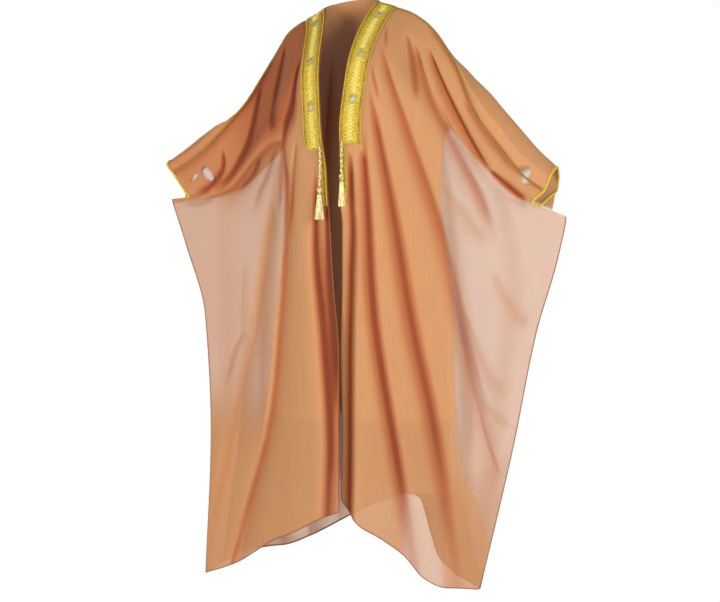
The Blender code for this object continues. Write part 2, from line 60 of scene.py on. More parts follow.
def metres(*rows):
    """Rows of millimetres as metres."""
    return tuple(tuple(value / 1000.0 for value in row) for row in rows)


def creases(*rows):
    """Rows of creases, their thirteen lengths brought from millimetres to metres."""
    return tuple(tuple(value / 1000.0 for value in row[:13]) + row[13:] for row in rows)


# ------------------------------------------------- sizes shared with the solids
# Metres.  t runs down the cloth from 0 at the shoulder seam to 1 at the hem, and
# s across a panel from 0 at its front edge, or its middle behind, to 1 at its side.
CLOTH_WALL = 0.0020
TRIM_WALL = 0.0016
GAP = 0.0003
SIDE_SPACE = 0.0013       # each panel's side edge from the plane between them
NECK_HALF = 0.070
NECK_DEPTH = 0.062
NECK_RISE = 0.022
BAND_WIDTH = 0.050
ARM_T = 0.160             # t at the lower corner of the wrist
BAND_END = 0.290          # t where the gold band ends, and the edging below it
EDGING_END = 0.400
EDGING_WIDTH = 0.0125
CUFF_T = 0.100            # t where the cuff cord turns across the opening
TIE_RADIUS = 0.0036
TIE_LENGTH_LEFT = 0.082
TIE_LENGTH_RIGHT = 0.100
TIE_OVERLAP = 0.010
TASSEL_LENGTH = 0.066
TASSEL_TOP = 0.0048
TASSEL_FOOT = 0.0115
KNOT_RADIUS = 0.0066
WING_DEPTH = 0.105        # how far the front hangs forward, and its bulge over the chest
CHEST_DEPTH = 0.055
WING_BACK = 0.085         # the same behind, with its bulge over the shoulder blades
BLADE_DEPTH = 0.050
CHEST_HALF = 0.175
NECK_DROP = 0.052         # t of the neck band's lower border, at the middle
LIFT = 0.5 * CLOTH_WALL + GAP + 0.5 * TRIM_WALL + 0.0003

EDGE_ROWS = (
    # t,    edge_left, edge_right
    (0.000, 0.070, -0.070),
    (0.030, 0.056, -0.055),
    (0.080, 0.044, -0.044),
    (0.160, 0.034, -0.034),
    (0.260, 0.0215, -0.026),
    (0.330, 0.0225, -0.0135),
    (0.390, 0.0225, -0.0115),
    (0.460, 0.034, -0.008),
    (0.560, 0.033, -0.002),
    (0.690, 0.029, 0.010),
    (0.850, 0.032, 0.010),
    (1.000, 0.029, 0.012),
)
SIDE_ROWS = (
    # t,   left_x, left_drop, right_x, right_drop
    (0.00, 0.511, 0.000, -0.470, 0.000),
    (0.08, 0.482, 0.032, -0.428, 0.057),
    (0.12, 0.520, 0.048, -0.462, 0.062),
    (0.16, 0.557, 0.064, -0.497, 0.066),
    (0.26, 0.534, 0.176, -0.458, 0.176),
    (0.42, 0.482, 0.354, -0.402, 0.355),
    (0.68, 0.423, 0.644, -0.386, 0.644),
    (1.00, 0.339, 1.000, -0.401, 1.000),
)
FRONT_SIDE_Y = ((0.0, -0.050), (0.06, -0.056), (0.09, -0.040), (0.12, -0.014),
                (0.16, -SIDE_SPACE), (0.20, -SIDE_SPACE), (1.0, -SIDE_SPACE))
BACK_SIDE_ROWS = (
    # t,   y,     left_x, left_z, right_x, right_z
    (0.00, -0.050, 0.511, -0.457, -0.470, -0.411),
    (0.03, -0.046, 0.524, -0.426, -0.489, -0.390),
    (0.06, -0.002, 0.534, -0.397, -0.496, -0.376),
    (0.09, 0.040, 0.528, -0.434, -0.480, -0.412),
    (0.12, 0.014, 0.520, -0.505, -0.462, -0.476),
    (0.16, SIDE_SPACE, 0.557, -0.521, -0.497, -0.480),
)
SEAM_LEFT = metres(
    (75, 20), (115, 9), (159, -6), (202, -34), (231, -63), (257, -100), (285, -149), (308, -203),
    (328, -247), (368, -305), (407, -353), (455, -413), (511, -457))
SEAM_RIGHT = metres(
    (68, 12), (98, -8), (137, -27), (168, -50), (193, -88), (242, -168), (274, -221), (307, -264),
    (356, -322), (398, -361), (470, -411))
SEAM_Y = metres(
    (70, 0), (200, -4), (280, -22), (360, -44), (520, -50))
RISE_LEFT = metres(
    (230, 0), (260, 22), (285, 40), (308, 55), (328, 68), (368, 78), (407, 84), (455, 95),
    (511, 98))
RISE_RIGHT = metres(
    (280, 0), (311, 12), (356, 47), (398, 57), (470, 54))
HEM_FRONT_LEFT = metres(
    (29, -1228), (48, -1276), (114, -1323), (160, -1362), (207, -1422), (260, -1448), (339, -1452))
HEM_FRONT_RIGHT = metres(
    (-401, -1460), (-315, -1428), (-235, -1380), (-197, -1355), (-103, -1311), (-44, -1279),
    (12, -1256))
HEM_BACK = metres(
    (-401, -1460), (-280, -1394), (-200, -1386), (-139, -1362), (-50, -1314), (-16, -1295),
    (60, -1262), (120, -1240), (165, -1246), (222, -1390), (339, -1452))
FULLNESS = (
    # z,    front, back
    (-1.48, 0.90, 1.22),
    (-1.00, 0.90, 1.12),
    (-0.60, 0.94, 1.00),
    (-0.30, 1.00, 1.00),
    (-0.12, 0.98, 1.02),
    (0.05, 0.90, 0.90),
)

# Down the arm part of the back panel, by t: how far back it lies, its share of
# the rise over the arm, its fall below the seam and how far it spreads outwards.
ARM_Y = ((0.03, -0.046), (0.06, -0.002), (0.09, 0.040), (0.13, 0.044), (0.3, 0.040))
ARM_RISE = ((0.0, 0.0), (0.03, 0.5), (0.06, 1.0), (0.3, 1.0))
ARM_FALL = ((0.0, 0.0), (0.06, 0.0), (0.09, 0.040), (0.13, 0.115), (0.3, 0.33))
ARM_SPREAD = ((0.0, 0.0), (0.03, 0.5), (0.06, 1.0), (0.11, 0.6), (0.3, 0.0))
PANEL_LENGTH = 1.45       # metres of cloth that t runs over
MIDDLE_CLEAR = 0.008      # creases stay this far from the plane between the panels

# ------------------------------------------------------------- sizes of the looks
SEAM_CORD_RISE = 0.0014   # the cords are sewn down hard on the cloth
CUFF_CORD_RISE = 0.0016
HEM_STEP = 0.006          # spacing of the rings along a hem
FRONT_BAND_CELLS = 16     # grid cells across a gold band
FRONT_WING_CELLS = 132
NECK_CELLS = 28
BACK_WING_CELLS = 78
NECK_ROW_CELLS = 20
BACK_SHIFT = 0.045        # the wearer's body is this much narrower behind
BRAID_TURN = 0.0006
BRAID_PITCH = 0.0045
BRAID_LIFT = 0.0006       # above the face of its band
BORDER_IN = 0.0012        # line of the border braid, in from the edge of its band
FINE_LINES = (0.0080, 0.0110)                   # in from each side of a band
FINE_LINE_RADIUS = 0.0006
CORNER_LEFT, CORNER_RIGHT = 0.003, 0.022        # radius of a band's rounded lower corner
CHAINS = ((0.0045, 0.0045), (0.0092, 0.0090))   # half width and length of a stitch
CHAIN_RADIUS = 0.0006
# Twisted cords: radius of the turn, length of a turn and radius of a strand.
SEAM_TWIST = (0.0013, 0.009, 0.0014)
CUFF_TWIST = (0.0016, 0.010, 0.0017)
FLOOR_Z = -1.50           # under the lowest corner of the hem
FLOOR_REACH = 30.0
LIGHT_AIM = (0.0, 0.0, -0.6)                    # near the middle of the cloak
# Heights of the lozenges sewn on the bands.
LOZENGES_LEFT = (-0.013, -0.115, -0.230)
LOZENGES_RIGHT = (-0.030, -0.133, -0.248)
LOW_TOP, LOW_FOOT = -1.015, -1.055   # heights where the cloth leaves the long robe

# Where the cloth lies over more than air it looks dense: the line down the
# body (x by z) and the line under the sleeve (z by x) on each side.
BODY_LINE_LEFT = metres(
    (-1460, 400), (-1335, 362), (-1220, 330), (-1155, 300), (-1030, 291), (-930, 284),
    (-840, 283), (-700, 275), (-540, 258), (-480, 254), (-380, 261), (-280, 262))
BODY_LINE_RIGHT = metres(
    (-1460, 330), (-1280, 280), (-1180, 250), (-1040, 214), (-950, 200), (-800, 184), (-630, 155),
    (-530, 146), (-350, 149), (-300, 150))
SLEEVE_LINE_LEFT = metres(
    (200, -200), (262, -285), (318, -352), (361, -398), (398, -436), (449, -476), (530, -505))
SLEEVE_LINE_RIGHT = metres(
    (100, -300), (151, -328), (208, -353), (252, -391), (288, -429), (319, -455), (376, -473),
    (500, -490))
# Cover of each panel below the long robe, by x.
LOW_FRONT = ((-0.40, 0.93), (0.150, 0.93), (0.176, 0.70), (0.242, 0.70), (0.266, 0.88),
             (0.400, 0.88))
LOW_BACK = ((-0.40, 0.85), (-0.20, 0.82), (-0.14, 0.76), (0.05, 0.76), (0.14, 0.80), (0.19, 0.88),
            (0.40, 0.88))
# Thin places: a line as x1, z1, x2, z2, its half width and the share of cover kept.
THIN_FRONT = (
    (0.458, -0.438, 0.508, -0.402, 0.017, 0.30),
    (-0.392, -0.396, -0.364, -0.431, 0.013, 0.35),
    (-0.424, -0.433, -0.404, -0.410, 0.006, 0.30),
)
THIN_BACK = (
    (0.429, -0.438, 0.479, -0.402, 0.019, 0.30),
    (-0.421, -0.396, -0.393, -0.431, 0.016, 0.35),
    (-0.453, -0.433, -0.433, -0.410, 0.009, 0.30),
)

# Creases, lengths in millimetres: five places down each as x and z, then its
# depth (raised where it is negative), its half width towards the middle and
# away from it, how dark it reads from -1 to 1 (painted shade in the crease where
# positive, a painted highlight where negative), how much it closes the weave,
# and the share of it left at its foot: 1 where it runs out through the hem.
CREASES_LEFT = creases(
    (44, -350, 41, -520, 34, -700, 31, -950, 30, -1228, 18, 12, 14, 0.95, 0.8, 1),
    (70, -255, 81, -480, 95, -773, 144, -1116, 176, -1329, 17, 20, 14, 0.9, 0.7, 0.45),
    (88, -195, 136, -480, 183, -792, 232, -1047, 280, -1380, 16, 26, 18, 0.8, 0.6, 0.3),
    (103, -80, 176, -314, 255, -572, 304, -803, 392, -1197, 20, 26, 12, 0.65, 0.6, 0.3),
    (87, -120, 92, -146, 99, -172, 106, -204, 114, -240, 6, 5, 4, 0.5, 0.3, 0),
    (98, -8, 103, -28, 109, -50, 115, -76, 122, -110, 5, 5, 4, 0.5, 0.3, 0),
    (160, -61, 173, -105, 183, -148, 192, -190, 201, -240, 8, 8, 6, 0.6, 0.3, 0),
    (176, -74, 222, -214, 290, -355, 351, -480, 382, -584, 18, 17, 9, 0.55, 0.7, 0),
    (212, -95, 258, -200, 300, -285, 345, -365, 385, -425, 18, 20, 5, 0.9, 0.9, 0),
    (372, -405, 400, -430, 430, -455, 455, -475, 475, -492, 14, 10, 10, 1, 0.9, 0),
    (305, -231, 342, -284, 376, -329, 414, -376, 439, -416, 6, 18, 5, 0.6, 0.4, 0),
    (256, -430, 281, -480, 314, -517, 343, -561, 375, -586, 6, 16, 12, 0.25, 0.35, 0),
    (379, -653, 405, -715, 438, -767, 453, -780, 468, -789, 5, 16, 12, 0.25, 0.35, 0),
    (302, -741, 334, -841, 368, -920, 390, -945, 414, -964, 5, 18, 12, 0.25, 0.35, 0),
    (344, -973, 360, -995, 378, -1012, 405, -1034, 427, -1051, 4, 14, 10, 0.22, 0.3, 0),
    (276, -700, 297, -799, 328, -947, 359, -1070, 400, -1183, 3, 4, 4, 0.2, 0.6, 1),
    # a raised rim along the wing, with a painted highlight on it
    (325, -368, 361, -405, 398, -443, 449, -480, 500, -500, -5, 7, 7, -0.5, 0, 0),
)
CREASES_RIGHT = creases(
    (-46, -405, -53, -605, -34, -800, -14, -1060, -18, -1228, 18, 26, 14, 1, 0.7, 0.8),
    # a dark line of painted shade along the wearer's right front edge
    (-18, -460, -12, -600, -5, -700, 4, -830, 8, -1030, 6, 16, 16, 1.15, 0.9, 0),
    (-147, -354, -144, -531, -165, -782, -199, -1044, -274, -1283, 22, 30, 6, 0.5, 0.6, 1),
    (-176, -440, -213, -635, -245, -799, -290, -965, -350, -1215, 18, 30, 14, 0.25, 0.6, 1),
    (-100, -100, -116, -229, -141, -303, -160, -437, -168, -524, 12, 12, 7, 0.6, 0.4, 0),
    (-103, -330, -114, -397, -120, -440, -126, -480, -137, -564, 8, 10, 6, 0.5, 0.3, 0),
    (-175, -80, -179, -139, -185, -225, -184, -270, -182, -310, 10, 13, 7, 0.5, 0.3, 0),
    (-235, -130, -260, -308, -295, -385, -331, -429, -370, -455, 12, 15, 8, 0.5, 0.5, 0),
    (-151, -328, -208, -353, -288, -429, -319, -455, -376, -473, 14, 40, 6, 0.5, 0.5, 0),
    (-176, -353, -190, -385, -203, -417, -227, -460, -248, -525, 10, 10, 7, 0.5, 0.4, 0),
    (-224, -373, -238, -395, -252, -417, -275, -440, -298, -460, 8, 9, 6, 0.5, 0.4, 0),
    (-277, -818, -304, -858, -316, -890, -328, -925, -351, -1004, 8, 10, 7, 0.4, 0.35, 0),
    (-336, -351, -339, -398, -359, -429, -388, -455, -416, -468, 10, 10, 8, 0.6, 0.5, 0),
    (-456, -492, -432, -491, -408, -489, -384, -483, -360, -476, 6, 9, 7, 0.4, 0.3, 0),
)
CREASES_BACK = creases(
    (16, -110, 10, -400, 18, -700, 4, -1000, 10, -1250, 20, 18, 11, 0.7, 0.4, 1),
    (98, -90, 112, -380, 148, -690, 158, -1000, 182, -1270, 24, 20, 12, 0.7, 0.4, 1),
    (-80, -100, -104, -420, -112, -710, -138, -1000, -134, -1350, 22, 16, 10, 0.7, 0.4, 1),
    (186, -130, 228, -390, 270, -660, 300, -980, 286, -1380, 22, 21, 12, 0.6, 0.4, 1),
    (-176, -130, -214, -400, -250, -690, -246, -1010, -268, -1370, 20, 20, 12, 0.6, 0.4, 1),
    (330, -360, 396, -500, 426, -700, 392, -960, 346, -1300, 8, 18, 14, 0.2, 0.2, 1),
    (-306, -330, -362, -500, -346, -720, -344, -1010, -352, -1380, 8, 18, 14, 0.2, 0.2, 1),
    (60, -85, 62, -180, 54, -300, 60, -420, 66, -560, 9, 10, 7, 0.5, 0.3, 0),
    (-46, -85, -50, -160, -40, -240, -44, -330, -50, -420, 8, 10, 6, 0.5, 0.3, 0),
    (140, -80, 160, -170, 176, -250, 186, -330, 200, -430, 9, 12, 7, 0.5, 0.3, 0),
    (-132, -85, -150, -180, -160, -280, -176, -390, -184, -500, 10, 12, 7, 0.5, 0.3, 0),
    (250, -200, 300, -290, 352, -370, 410, -440, 470, -490, 10, 16, 10, 0.4, 0.3, 0),
    (-240, -190, -282, -280, -330, -350, -384, -410, -430, -450, 10, 15, 9, 0.4, 0.3, 0),
    (55, -740, 70, -850, 78, -970, 90, -1100, 94, -1230, 9, 12, 7, 0.4, 0.3, 1),
    (-60, -690, -66, -820, -60, -960, -72, -1100, -70, -1290, 10, 13, 7, 0.4, 0.3, 1),
    (214, -800, 226, -930, 232, -1060, 240, -1200, 238, -1350, 9, 13, 8, 0.4, 0.3, 1),
    (-190, -760, -198, -900, -190, -1050, -204, -1200, -206, -1370, 9, 12, 8, 0.4, 0.3, 1),
    (-300, -640, -306, -760, -300, -880, -312, -1000, -310, -1120, 6, 12, 7, 0.3, 0.3, 0),
    # painted light on the strip of the back hem that shows below the fronts, where it lies in
    # their shade
    (-200, -1360, -130, -1335, -60, -1305, 10, -1275, 80, -1245, 0, 40, 40, -0.9, 0, 1),
)


# ------------------------------------------------------------------ helpers
def ramp(low, high, value):
    """0 below low, 1 above high, smooth between."""
    u = np.clip((np.asarray(value, float) - low) / (high - low), 0.0, 1.0)
    return u * u * (3.0 - 2.0 * u)


def mix(a, b, u):
    """a where u is 0, b where it is 1."""
    return a + (b - a) * u


def pick(is_left, left, right):
    return left if is_left else right


def through(rows, at, column=1):
    """Smooth curve through a table, read at values of its first column."""
    keys = np.array([row[0] for row in rows], float)
    values = np.array([row[column] for row in rows], float)
    rates = np.diff(values) / np.diff(keys)
    slopes = np.empty(len(keys))
    slopes[0], slopes[-1] = rates[0], rates[-1]
    both = rates[:-1] * rates[1:]
    total = rates[:-1] + rates[1:]
    slopes[1:-1] = np.where(both > 0.0, 2.0 * both / np.where(both > 0.0, total, 1.0), 0.0)
    at = np.clip(np.asarray(at, float), keys[0], keys[-1])
    i = np.clip(np.searchsorted(keys, at) - 1, 0, len(keys) - 2)
    width = keys[i + 1] - keys[i]
    u = (at - keys[i]) / width
    return (values[i] * (1 - u) ** 2 * (1 + 2 * u) + slopes[i] * width * u * (1 - u) ** 2
            + values[i + 1] * u * u * (3 - 2 * u) - slopes[i + 1] * width * u * u * (1 - u))


def unit(vectors):
    return vectors / np.maximum(np.linalg.norm(vectors, axis=-1, keepdims=True), 1e-12)


def smooth_path(places, steps):
    """Points of a soft curve through a few places."""
    places = np.asarray(places, float)
    ends = np.vstack([2 * places[0] - places[1], places, 2 * places[-1] - places[-2]])
    out = []
    for k in range(1, len(ends) - 2):
        a, b, c, d = ends[k - 1:k + 3]
        u = np.arange(steps)[:, None] / steps
        out.append(0.5 * (2 * b + (c - a) * u + (2 * a - 5 * b + 4 * c - d) * u ** 2
                          + (3 * b - a - 3 * c + d) * u ** 3))
    return np.vstack(out + [places[-1:]])


def run_along(path):
    """Running length at each point of a path."""
    return np.concatenate([[0.0], np.cumsum(np.linalg.norm(np.diff(path, axis=0), axis=1))])


def evenly(path, step):
    """A path again, at even steps along it."""
    run = run_along(path)
    at = np.linspace(0.0, run[-1], max(2, int(round(run[-1] / step)) + 1))
    return np.stack([np.interp(at, run, path[:, k]) for k in range(path.shape[1])], axis=1)


def nearest_on(path, x, z):
    """Distance from a line, the side of it (+1 or -1) and the share of it run so far."""
    nearest = np.full(x.shape, 9.0)
    side = np.zeros_like(x)
    along = np.zeros_like(x)
    count = len(path) - 1
    for k in range(count):
        ax, az = path[k]
        dx, dz = path[k + 1] - path[k]
        u = ((x - ax) * dx + (z - az) * dz) / (dx * dx + dz * dz)
        u = np.clip(u, -1e3 if k == 0 else 0.0, 1e3 if k == count - 1 else 1.0)
        off_x, off_z = x - ax - u * dx, z - az - u * dz
        off = np.hypot(off_x, off_z)
        closer = off < nearest
        nearest = np.where(closer, off, nearest)
        side = np.where(closer, np.sign(dx * off_z - dz * off_x), side)
        along = np.where(closer, (k + u) / count, along)
    return nearest, side, along


def crease_field(rows, x, z, outward):
    """Depth, painted shade (how dark each reads) and closeness of the weave in the creases of a
    panel.
    """
    depth = np.zeros_like(x)
    tone = np.zeros_like(x)
    fill = np.zeros_like(x)
    for row in rows:
        path = smooth_path([(row[2 * k], row[2 * k + 1]) for k in range(5)], 5)
        nearest, side, along = nearest_on(path, x, z)
        deep, inner, outer, dark, close, to_hem = row[10:16]
        # a crease starts narrow and faint, widens down the cloth and dies out softly
        grow = mix(0.35, 1.15, ramp(-0.08, 0.45, along))
        width = np.where(side * outward > 0.0, outer, inner) * grow
        slim = (0.60 * min(inner, outer) + 0.0015) * grow
        fade = ramp(-0.04, 0.11, along) * (1.0 - (1.0 - to_hem) * ramp(0.74, 1.06, along))
        # painted shade: a broad soft band with a darker core, over a wide shallow dip
        band = np.exp(-(nearest / width) ** 2.2)
        core = np.exp(-(nearest / slim) ** 2)
        wide = np.exp(-(nearest / (2.6 * width)) ** 2)
        depth += deep * fade * (0.70 * np.exp(-(nearest / width) ** 1.8) + 0.30 * wide)
        tone += dark * fade * (0.60 * band + 0.40 * core)
        fill = np.maximum(fill, close * fade * np.exp(-(nearest / (1.3 * width)) ** 2))
    return depth, np.clip(tone, -1.0, 1.15), np.maximum(fill, 0.75 * np.clip(tone, 0.0, 1.0))


def thin_places(rows, x, z):
    """Share of the cover that is kept at the thin places of a panel."""
    kept = np.ones_like(x)
    for x1, z1, x2, z2, half, share in rows:
        nearest = nearest_on(np.array([(x1, z1), (x2, z2)], float), x, z)[0]
        dx, dz = x2 - x1, z2 - z1
        along = ((x - x1) * dx + (z - z1) * dz) / (dx * dx + dz * dz)
        lens = half * np.sqrt(np.maximum(0.0, 1.0 - (2.0 * along - 1.0) ** 2)) + 1e-5
        near = (1.0 - ramp(0.35, 1.35, nearest / lens)) * (lens > 2e-5)
        kept = np.minimum(kept, 1.0 - (1.0 - share) * near)
    return kept


# ------------------------------------------------------------ garment forms
def edge_x(is_left, t):
    return through(EDGE_ROWS, t, pick(is_left, 1, 2))


def side_x(is_left, t):
    return through(SIDE_ROWS, t, pick(is_left, 1, 3))


def side_drop(is_left, t):
    return through(SIDE_ROWS, t, pick(is_left, 2, 4))


def band_share(is_left, t):
    """Share of a front panel's width that its gold band takes."""
    return BAND_WIDTH / np.abs(side_x(is_left, t) - edge_x(is_left, t))


def seam_height(is_left, x):
    return through(pick(is_left, SEAM_LEFT, SEAM_RIGHT), np.abs(x))


def hang(x, z, side, wing, bulge, column):
    """How far a panel hangs from the plane between front and back."""
    q = np.minimum(1.0, np.abs(x) / np.maximum(np.abs(side), 0.36))
    full = wing * (1.0 - q ** 1.35) + bulge * np.exp(-(x / CHEST_HALF) ** 2) * (1.0 - q ** 4)
    return full * through(FULLNESS, z, column)


def front_base(is_left, s, t):
    """Front panel without creases: s out to the side, t down the cloth."""
    s, t = np.broadcast_arrays(np.asarray(s, float), np.asarray(t, float))
    top_x = mix(edge_x(is_left, 0.0), side_x(is_left, 0.0), s)
    seam_y = through(SEAM_Y, np.abs(top_x))
    seam_z = seam_height(is_left, top_x)
    side = side_x(is_left, t)
    x = mix(edge_x(is_left, t), side, s)
    hem_rows = pick(is_left, HEM_FRONT_LEFT, HEM_FRONT_RIGHT)
    hem_z = through(hem_rows, mix(edge_x(is_left, 1.0), side_x(is_left, 1.0), s))
    z = mix(seam_z, hem_z, mix(t, side_drop(is_left, t), s ** 6))
    edge_z = mix(seam_height(is_left, NECK_HALF), through(hem_rows, edge_x(is_left, 1.0)), t)
    level = (1.0 - ramp(0.03, 0.40, s)) * ramp(0.02, 0.15, t) * (1.0 - ramp(0.40, 0.90, t))
    z = mix(z, edge_z, level)
    room = hang(x, z, side, WING_DEPTH, CHEST_DEPTH, 1)
    over = np.sin(0.5 * math.pi * np.minimum(1.0, t / 0.17)) ** 0.85
    y = mix(seam_y, -room, over)
    side_seam_y = through(SEAM_Y, np.abs(side_x(is_left, 0.0)))
    y = y + (through(FRONT_SIDE_Y, t) - mix(side_seam_y, 0.0, over)) * s ** 6
    return x, y, z


def seam_hollow_shade(dark, top_x, t, reach):
    """Painted shade in the hollow along the sleeve part of a shoulder seam."""
    return dark * ramp(0.19, 0.24, np.abs(top_x)) * np.exp(-(t * PANEL_LENGTH / reach) ** 1.5)


def front_form(is_left, s, t):
    """Front panel with its creases: points, its painted shade (how dark each one is) and how
    closed each one is.
    """
    s, t = np.broadcast_arrays(np.asarray(s, float), np.asarray(t, float))
    x, y, z = front_base(is_left, s, t)
    rows = pick(is_left, CREASES_LEFT, CREASES_RIGHT)
    # below the edging the left front edge turns in
    turned = ramp(0.36, 0.48, t) * (1.0 - ramp(0.0, 0.07, s)) * pick(is_left, 1.0, 0.0)
    x = x - 0.022 * turned
    depth, tone, fill = crease_field(rows, x, z, pick(is_left, 1.0, -1.0))
    free = (1.0 - ramp(0.92, 1.0, s)) * ramp(0.003, 0.02, t)
    under_band = 1.0 - ramp(1.0, 1.25, s / band_share(is_left, t))
    flat = under_band * (1.0 - ramp(BAND_END, BAND_END + 0.03, t))
    free = free * (1.0 - flat)
    depth = np.minimum(depth * free, np.maximum(0.0, -y - MIDDLE_CLEAR) * 0.7)
    points = np.stack([x, y + depth + 0.034 * turned, z], axis=-1)
    # painted shade in the hollow beside the shoulder seam, where the sleeve starts
    top_x = np.abs(mix(edge_x(is_left, 0.0), side_x(is_left, 0.0), s))
    hollow = seam_hollow_shade(pick(is_left, 0.70, 0.45), top_x, t, 0.014)
    # painted shade: the right sleeve and shoulder hang loose and lie in shade, so their colour is
    # darkened
    above = z - through(SLEEVE_LINE_RIGHT, np.abs(x))
    shaded = ramp(-0.03, 0.05, above) * ramp(0.085, 0.115, np.abs(x))
    shaded = shaded * (1.0 - 0.5 * ramp(0.22, 0.34, np.abs(x)))
    shoulder = pick(is_left, 0.0, 0.64) * shaded
    return points, np.clip(tone * free + hollow + shoulder, -1.0, 1.15), fill * free


def back_base(top_x, t):
    """Back panel before its side edge is brought to its own line."""
    is_left = top_x >= 0.0

    def sided(value):
        return np.where(is_left, value(True), value(False))

    side_top = sided(lambda left: side_x(left, 0.0))
    s = np.minimum(1.0, top_x / side_top)
    neck = np.sqrt(np.maximum(0.0, 1.0 - (top_x / NECK_HALF) ** 2))
    seam_y = through(SEAM_Y, np.abs(top_x))
    neck_z = mix(seam_height(False, NECK_HALF), seam_height(True, NECK_HALF),
                 ramp(-NECK_HALF, NECK_HALF, top_x))
    seam_z = np.where(np.abs(top_x) < NECK_HALF, neck_z,
                      sided(lambda left: seam_height(left, top_x)))
    shoulder_y = seam_y + NECK_DEPTH * neck
    over = np.sin(0.5 * math.pi * np.minimum(1.0, t / 0.18))
    shoulder_y = shoulder_y + mix(0.104, 0.052, neck) * over
    shoulder_z = seam_z + NECK_RISE * neck - mix(4.6 * t * t + 0.12 * t, 1.22 * t, neck)
    arm = ramp(0.23, 0.34, np.abs(top_x))
    rise = sided(lambda left: through(pick(left, RISE_LEFT, RISE_RIGHT), np.abs(top_x)))
    arm_y = np.where(t < 0.03, mix(seam_y, -0.046, ramp(0.0, 0.03, t)), through(ARM_Y, t))
    arm_z = seam_z + 0.65 * rise * through(ARM_RISE, t)
    arm_z = arm_z - through(ARM_FALL, t)
    spread = 0.35 * rise * through(ARM_SPREAD, t)
    side = sided(lambda left: side_x(left, t))
    side_arm = sided(lambda left: side_x(left, ARM_T))
    x = np.where(t > ARM_T, side * s, mix(top_x, side_arm * s, ramp(0.0, ARM_T, t)))
    x = x + np.where(is_left, spread, -spread) * arm
    hem_z = through(HEM_BACK, sided(lambda left: side_x(left, 1.0)) * s)
    low_z = mix(seam_z, hem_z, mix(t, sided(lambda left: side_drop(left, t)), s ** 6))
    settle = ramp(0.08, 0.26, t)
    low_y = hang(x, low_z, side, WING_BACK, BLADE_DEPTH, 2)
    y = mix(mix(shoulder_y, arm_y, arm), low_y, settle)
    z = mix(mix(shoulder_z, arm_z, arm), low_z, settle)
    return np.stack(np.broadcast_arrays(x, y, z), axis=-1)


def back_side(is_left, t):
    """The side edge of the back panel."""
    wrist = [through(BACK_SIDE_ROWS, t, c) for c in pick(is_left, (2, 1, 3), (4, 1, 5))]
    side_top = seam_height(is_left, side_x(is_left, 0.0))
    corner_z = through(HEM_BACK, side_x(is_left, 1.0))
    below = [side_x(is_left, t), np.full_like(t, SIDE_SPACE),
             mix(side_top, corner_z, side_drop(is_left, t))]
    return np.stack([np.where(t < ARM_T, a, b) for a, b in zip(wrist, below)], axis=-1)


def back_form(top_x, t):
    """Back panel with its creases: points, its painted shade (how dark each one is) and how closed
    each one is.
    """
    top_x, t = np.broadcast_arrays(np.asarray(top_x, float), np.asarray(t, float))
    is_left = (top_x >= 0.0)[..., None]
    side_top = np.where(top_x >= 0.0, side_x(True, 0.0), side_x(False, 0.0))
    s = np.minimum(1.0, top_x / side_top)
    goal = np.where(is_left, back_side(True, t), back_side(False, t))
    points = back_base(top_x, t)
    points = points + (goal - back_base(side_top, t)) * (s ** 5)[..., None]
    free = (1.0 - ramp(0.90, 1.0, s)) * ramp(0.09, 0.18, t)
    x, y, z = points[..., 0], points[..., 1], points[..., 2]
    depth, tone, fill = crease_field(CREASES_BACK, x, z, np.where(x >= 0.0, 1.0, -1.0))
    depth = np.minimum(depth * free, np.maximum(0.0, y - MIDDLE_CLEAR) * 0.7)
    points[..., 1] = y - depth
    # painted shade in the hollow by the shoulder seam, and over the upper back of the wearer's
    # right sleeve
    hollow = seam_hollow_shade(0.35, top_x, t, 0.010)
    sleeve = 0.30 * (1.0 - ramp(-0.24, -0.15, x)) * ramp(-0.50, -0.44, z)
    return points, np.clip(tone * free + hollow + sleeve, -1.0, 1.15), fill * free


def density(is_left, x, z, narrower=0.0):
    """1 where the cloth lies over the body or the arm, 0 in the open wings."""
    body = through(pick(is_left, BODY_LINE_LEFT, BODY_LINE_RIGHT), z) - narrower
    sleeve = through(pick(is_left, SLEEVE_LINE_LEFT, SLEEVE_LINE_RIGHT), np.abs(x))
    over_body = 1.0 - ramp(-0.005, 0.005, np.abs(x) - body)
    over_arm = ramp(-0.006, 0.006, z - sleeve)
    return np.maximum(over_body, over_arm)


# ------------------------------------------------------------------ panels
def row_steps(*runs):
    """t of each row: runs of (first, last, steps)."""
    parts = [np.linspace(first, last, steps + 1)[:-1] for first, last, steps in runs]
    return np.concatenate(parts + [[runs[-1][1]]])


def normals_of(points, flip):
    """Direction square to a grid of points."""
    across = np.gradient(points, axis=1)
    down = np.gradient(points, axis=0)
    return unit(np.cross(across, down)) * (-1.0 if flip else 1.0)


def lengths(points, axis):
    """Running length along the rows or columns of a grid of points."""
    steps = np.linalg.norm(np.diff(points, axis=axis), axis=-1)
    zero = np.zeros_like(np.take(steps, [0], axis=axis))
    return np.concatenate([zero, np.cumsum(steps, axis=axis)], axis=axis)


def cover_of(wing, body, low_cover, dense, fill, points, base, thin):
    """Share of a layer's threads that stops the view, for one face of the shell."""
    x, z = points[..., 0], points[..., 2]
    low = ramp(LOW_TOP, LOW_FOOT, z)
    low_cover = mix(np.maximum(low_cover, 0.90), low_cover, ramp(-1.205, -1.225, z))
    # the right wing closes up towards the hem, the left one only a little
    right_low = (1.0 - ramp(-0.12, 0.12, x)) * ramp(-0.92, -1.16, z)
    left_low = 0.45 * ramp(-0.12, 0.12, x) * ramp(-1.00, -1.34, z)
    layer = mix(wing, low_cover, right_low + left_low)
    layer = mix(layer, mix(body, low_cover, low), dense)
    layer = layer + (1.0 - layer) * fill
    lean = np.gradient(points[..., 1] - base, axis=1)
    width = np.maximum(np.linalg.norm(np.gradient(points[..., ::2], axis=1), axis=-1), 1e-5)
    stack = np.sqrt(1.0 + np.minimum(np.abs(lean / width), 0.8) ** 2)
    layer = (1.0 - (1.0 - layer) ** stack) * thin
    return 1.0 - np.sqrt(np.clip(1.0 - layer, 0.0, 1.0))


